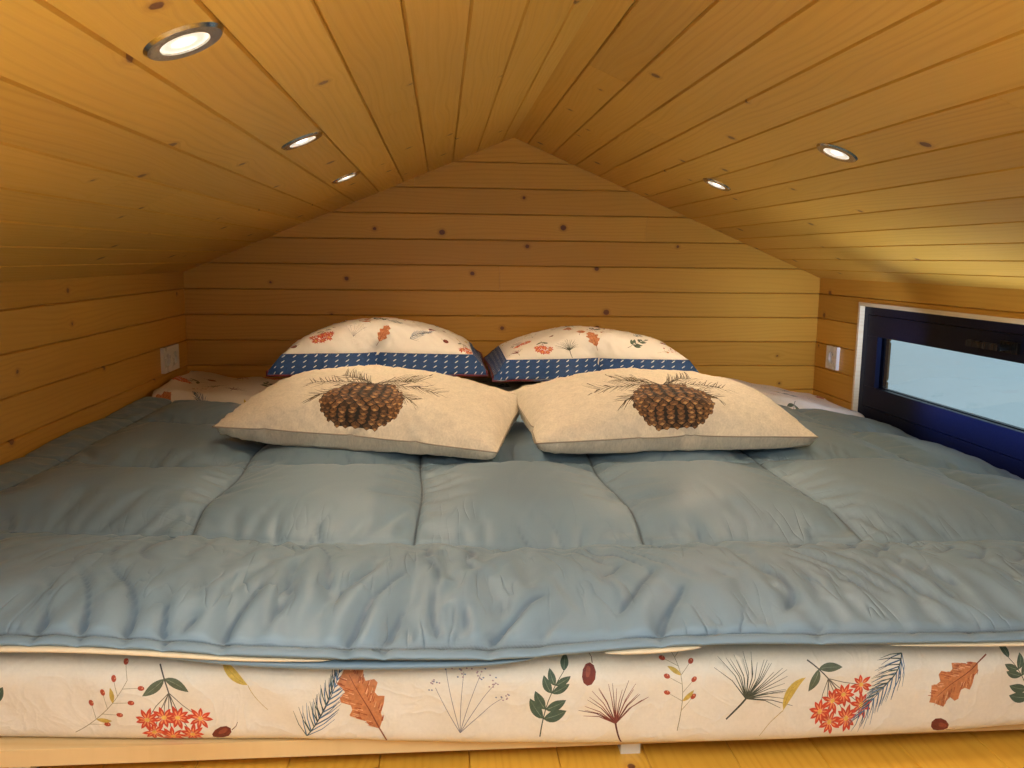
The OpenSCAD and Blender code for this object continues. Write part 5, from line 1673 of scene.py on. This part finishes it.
def sky():
    world = bpy.data.worlds.new("world")
    scene.world = world
    world.use_nodes = True
    tree = world.node_tree
    tree.nodes.clear()
    out = tree.nodes.new("ShaderNodeOutputWorld")
    lit = tree.nodes.new("ShaderNodeBackground")
    lit.inputs[0].default_value = (0.92, 0.95, 1.0, 1)
    lit.inputs[1].default_value = 0.27
    white = tree.nodes.new("ShaderNodeBackground")
    white.inputs[0].default_value = (1, 1, 1, 1)
    white.inputs[1].default_value = 1.0
    mix = tree.nodes.new("ShaderNodeMixShader")
    tree.links.new(background_rays(tree), mix.inputs[0])
    tree.links.new(lit.outputs[0], mix.inputs[1])
    tree.links.new(white.outputs[0], mix.inputs[2])
    tree.links.new(mix.outputs[0], out.inputs[0])


photo_camera()
stage_floor()
sky()
studio = [area("room_behind", (-0.55, FRONT - 0.75, 1.35), (-0.15, FRONT + 0.75, 0.30), (1.0, 0.5), 15.5,
               (1.0, 0.95, 0.82)),
          area("studio_front", (0.8, -3.4, 5.2), (0, -1.0, 0.5), (2.5, 2.5), 150, (1.0, 0.98, 0.95)),
          area("studio_key", (5.0, 2.5, 4.2), (0, 0, 0.6), (3.0, 3.0), 170, (1.0, 0.98, 0.95)),
          area("studio_fill", (-5.0, 1.5, 3.6), (0, 0, 0.6), (3.5, 3.0), 120, (0.93, 0.96, 1.0))]
for lamp in studio:
    lamp.visible_camera = lamp.visible_transmission = False
glass_lo, glass_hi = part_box("window_glass")
pane = Vector((HALF - 0.004, (glass_lo[1] + glass_hi[1]) / 2, (glass_lo[2] + glass_hi[2]) / 2))
up_light = area("room_below", (-0.25, FRONT - 0.30, 0.35), (-0.25, FRONT + 0.20, 1.35), (1.2, 0.3), 2.4,
                (1.0, 0.92, 0.72))
inside = pane - 0.066 * X
lamps_inside = [
    (up_light, 115),
    (area("day_to_gable", (1.05, 0.45, 0.50), (1.05 - 0.16, 1.40, 0.72), (0.12, 0.20), 0.85,
          (0.56, 0.68, 1.0)), 95),
    (area("day_to_ceiling", inside, inside + Vector((-0.55, -0.10, 0.80)), (0.70, 0.12), 2.6,
          (0.56, 0.69, 1.0)), 130),
    (area("day_on_frame", pane - Vector((0.17, 0.1, 0.03)), pane - Vector((0, 0.1, 0.06)), (0.9, 0.08), 1.2,
          (0.25, 0.40, 1.0)), 70)]
for lamp, spread in lamps_inside:
    lamp.data.spread = math.radians(spread)
    lamp.visible_camera = lamp.visible_transmission = lamp.visible_glossy = False

# Lamps: the lit glass shows, and a small warm light hangs just under it
LAMP_WATTS = {-1: (9.0, 7.5, 6.0), 1: (11.0, 5.5, 3.5)}
for side, watts in LAMP_WATTS.items():
    for k, power in enumerate(watts, 1):
        y = GABLE - LAMP_PITCH * k
        out = Vector((side * math.sin(SLOPE), 0, math.cos(SLOPE)))
        at = Vector((side * LAMP_X, y, EAVE + (HALF - LAMP_X) * math.tan(SLOPE))) - out * 0.012
        data = bpy.data.lights.new("lamp", "SPOT")
        data.energy = power
        data.color = (1.0, 0.76, 0.50)
        data.spot_size = math.radians(142)
        data.spot_blend = 0.9
        data.shadow_soft_size = 0.02
        obj = bpy.data.objects.new("lamp_light", data)
        obj.location = at
        obj.rotation_euler = (-out).to_track_quat("-Z", "Y").to_euler()
        scene.collection.objects.link(obj)
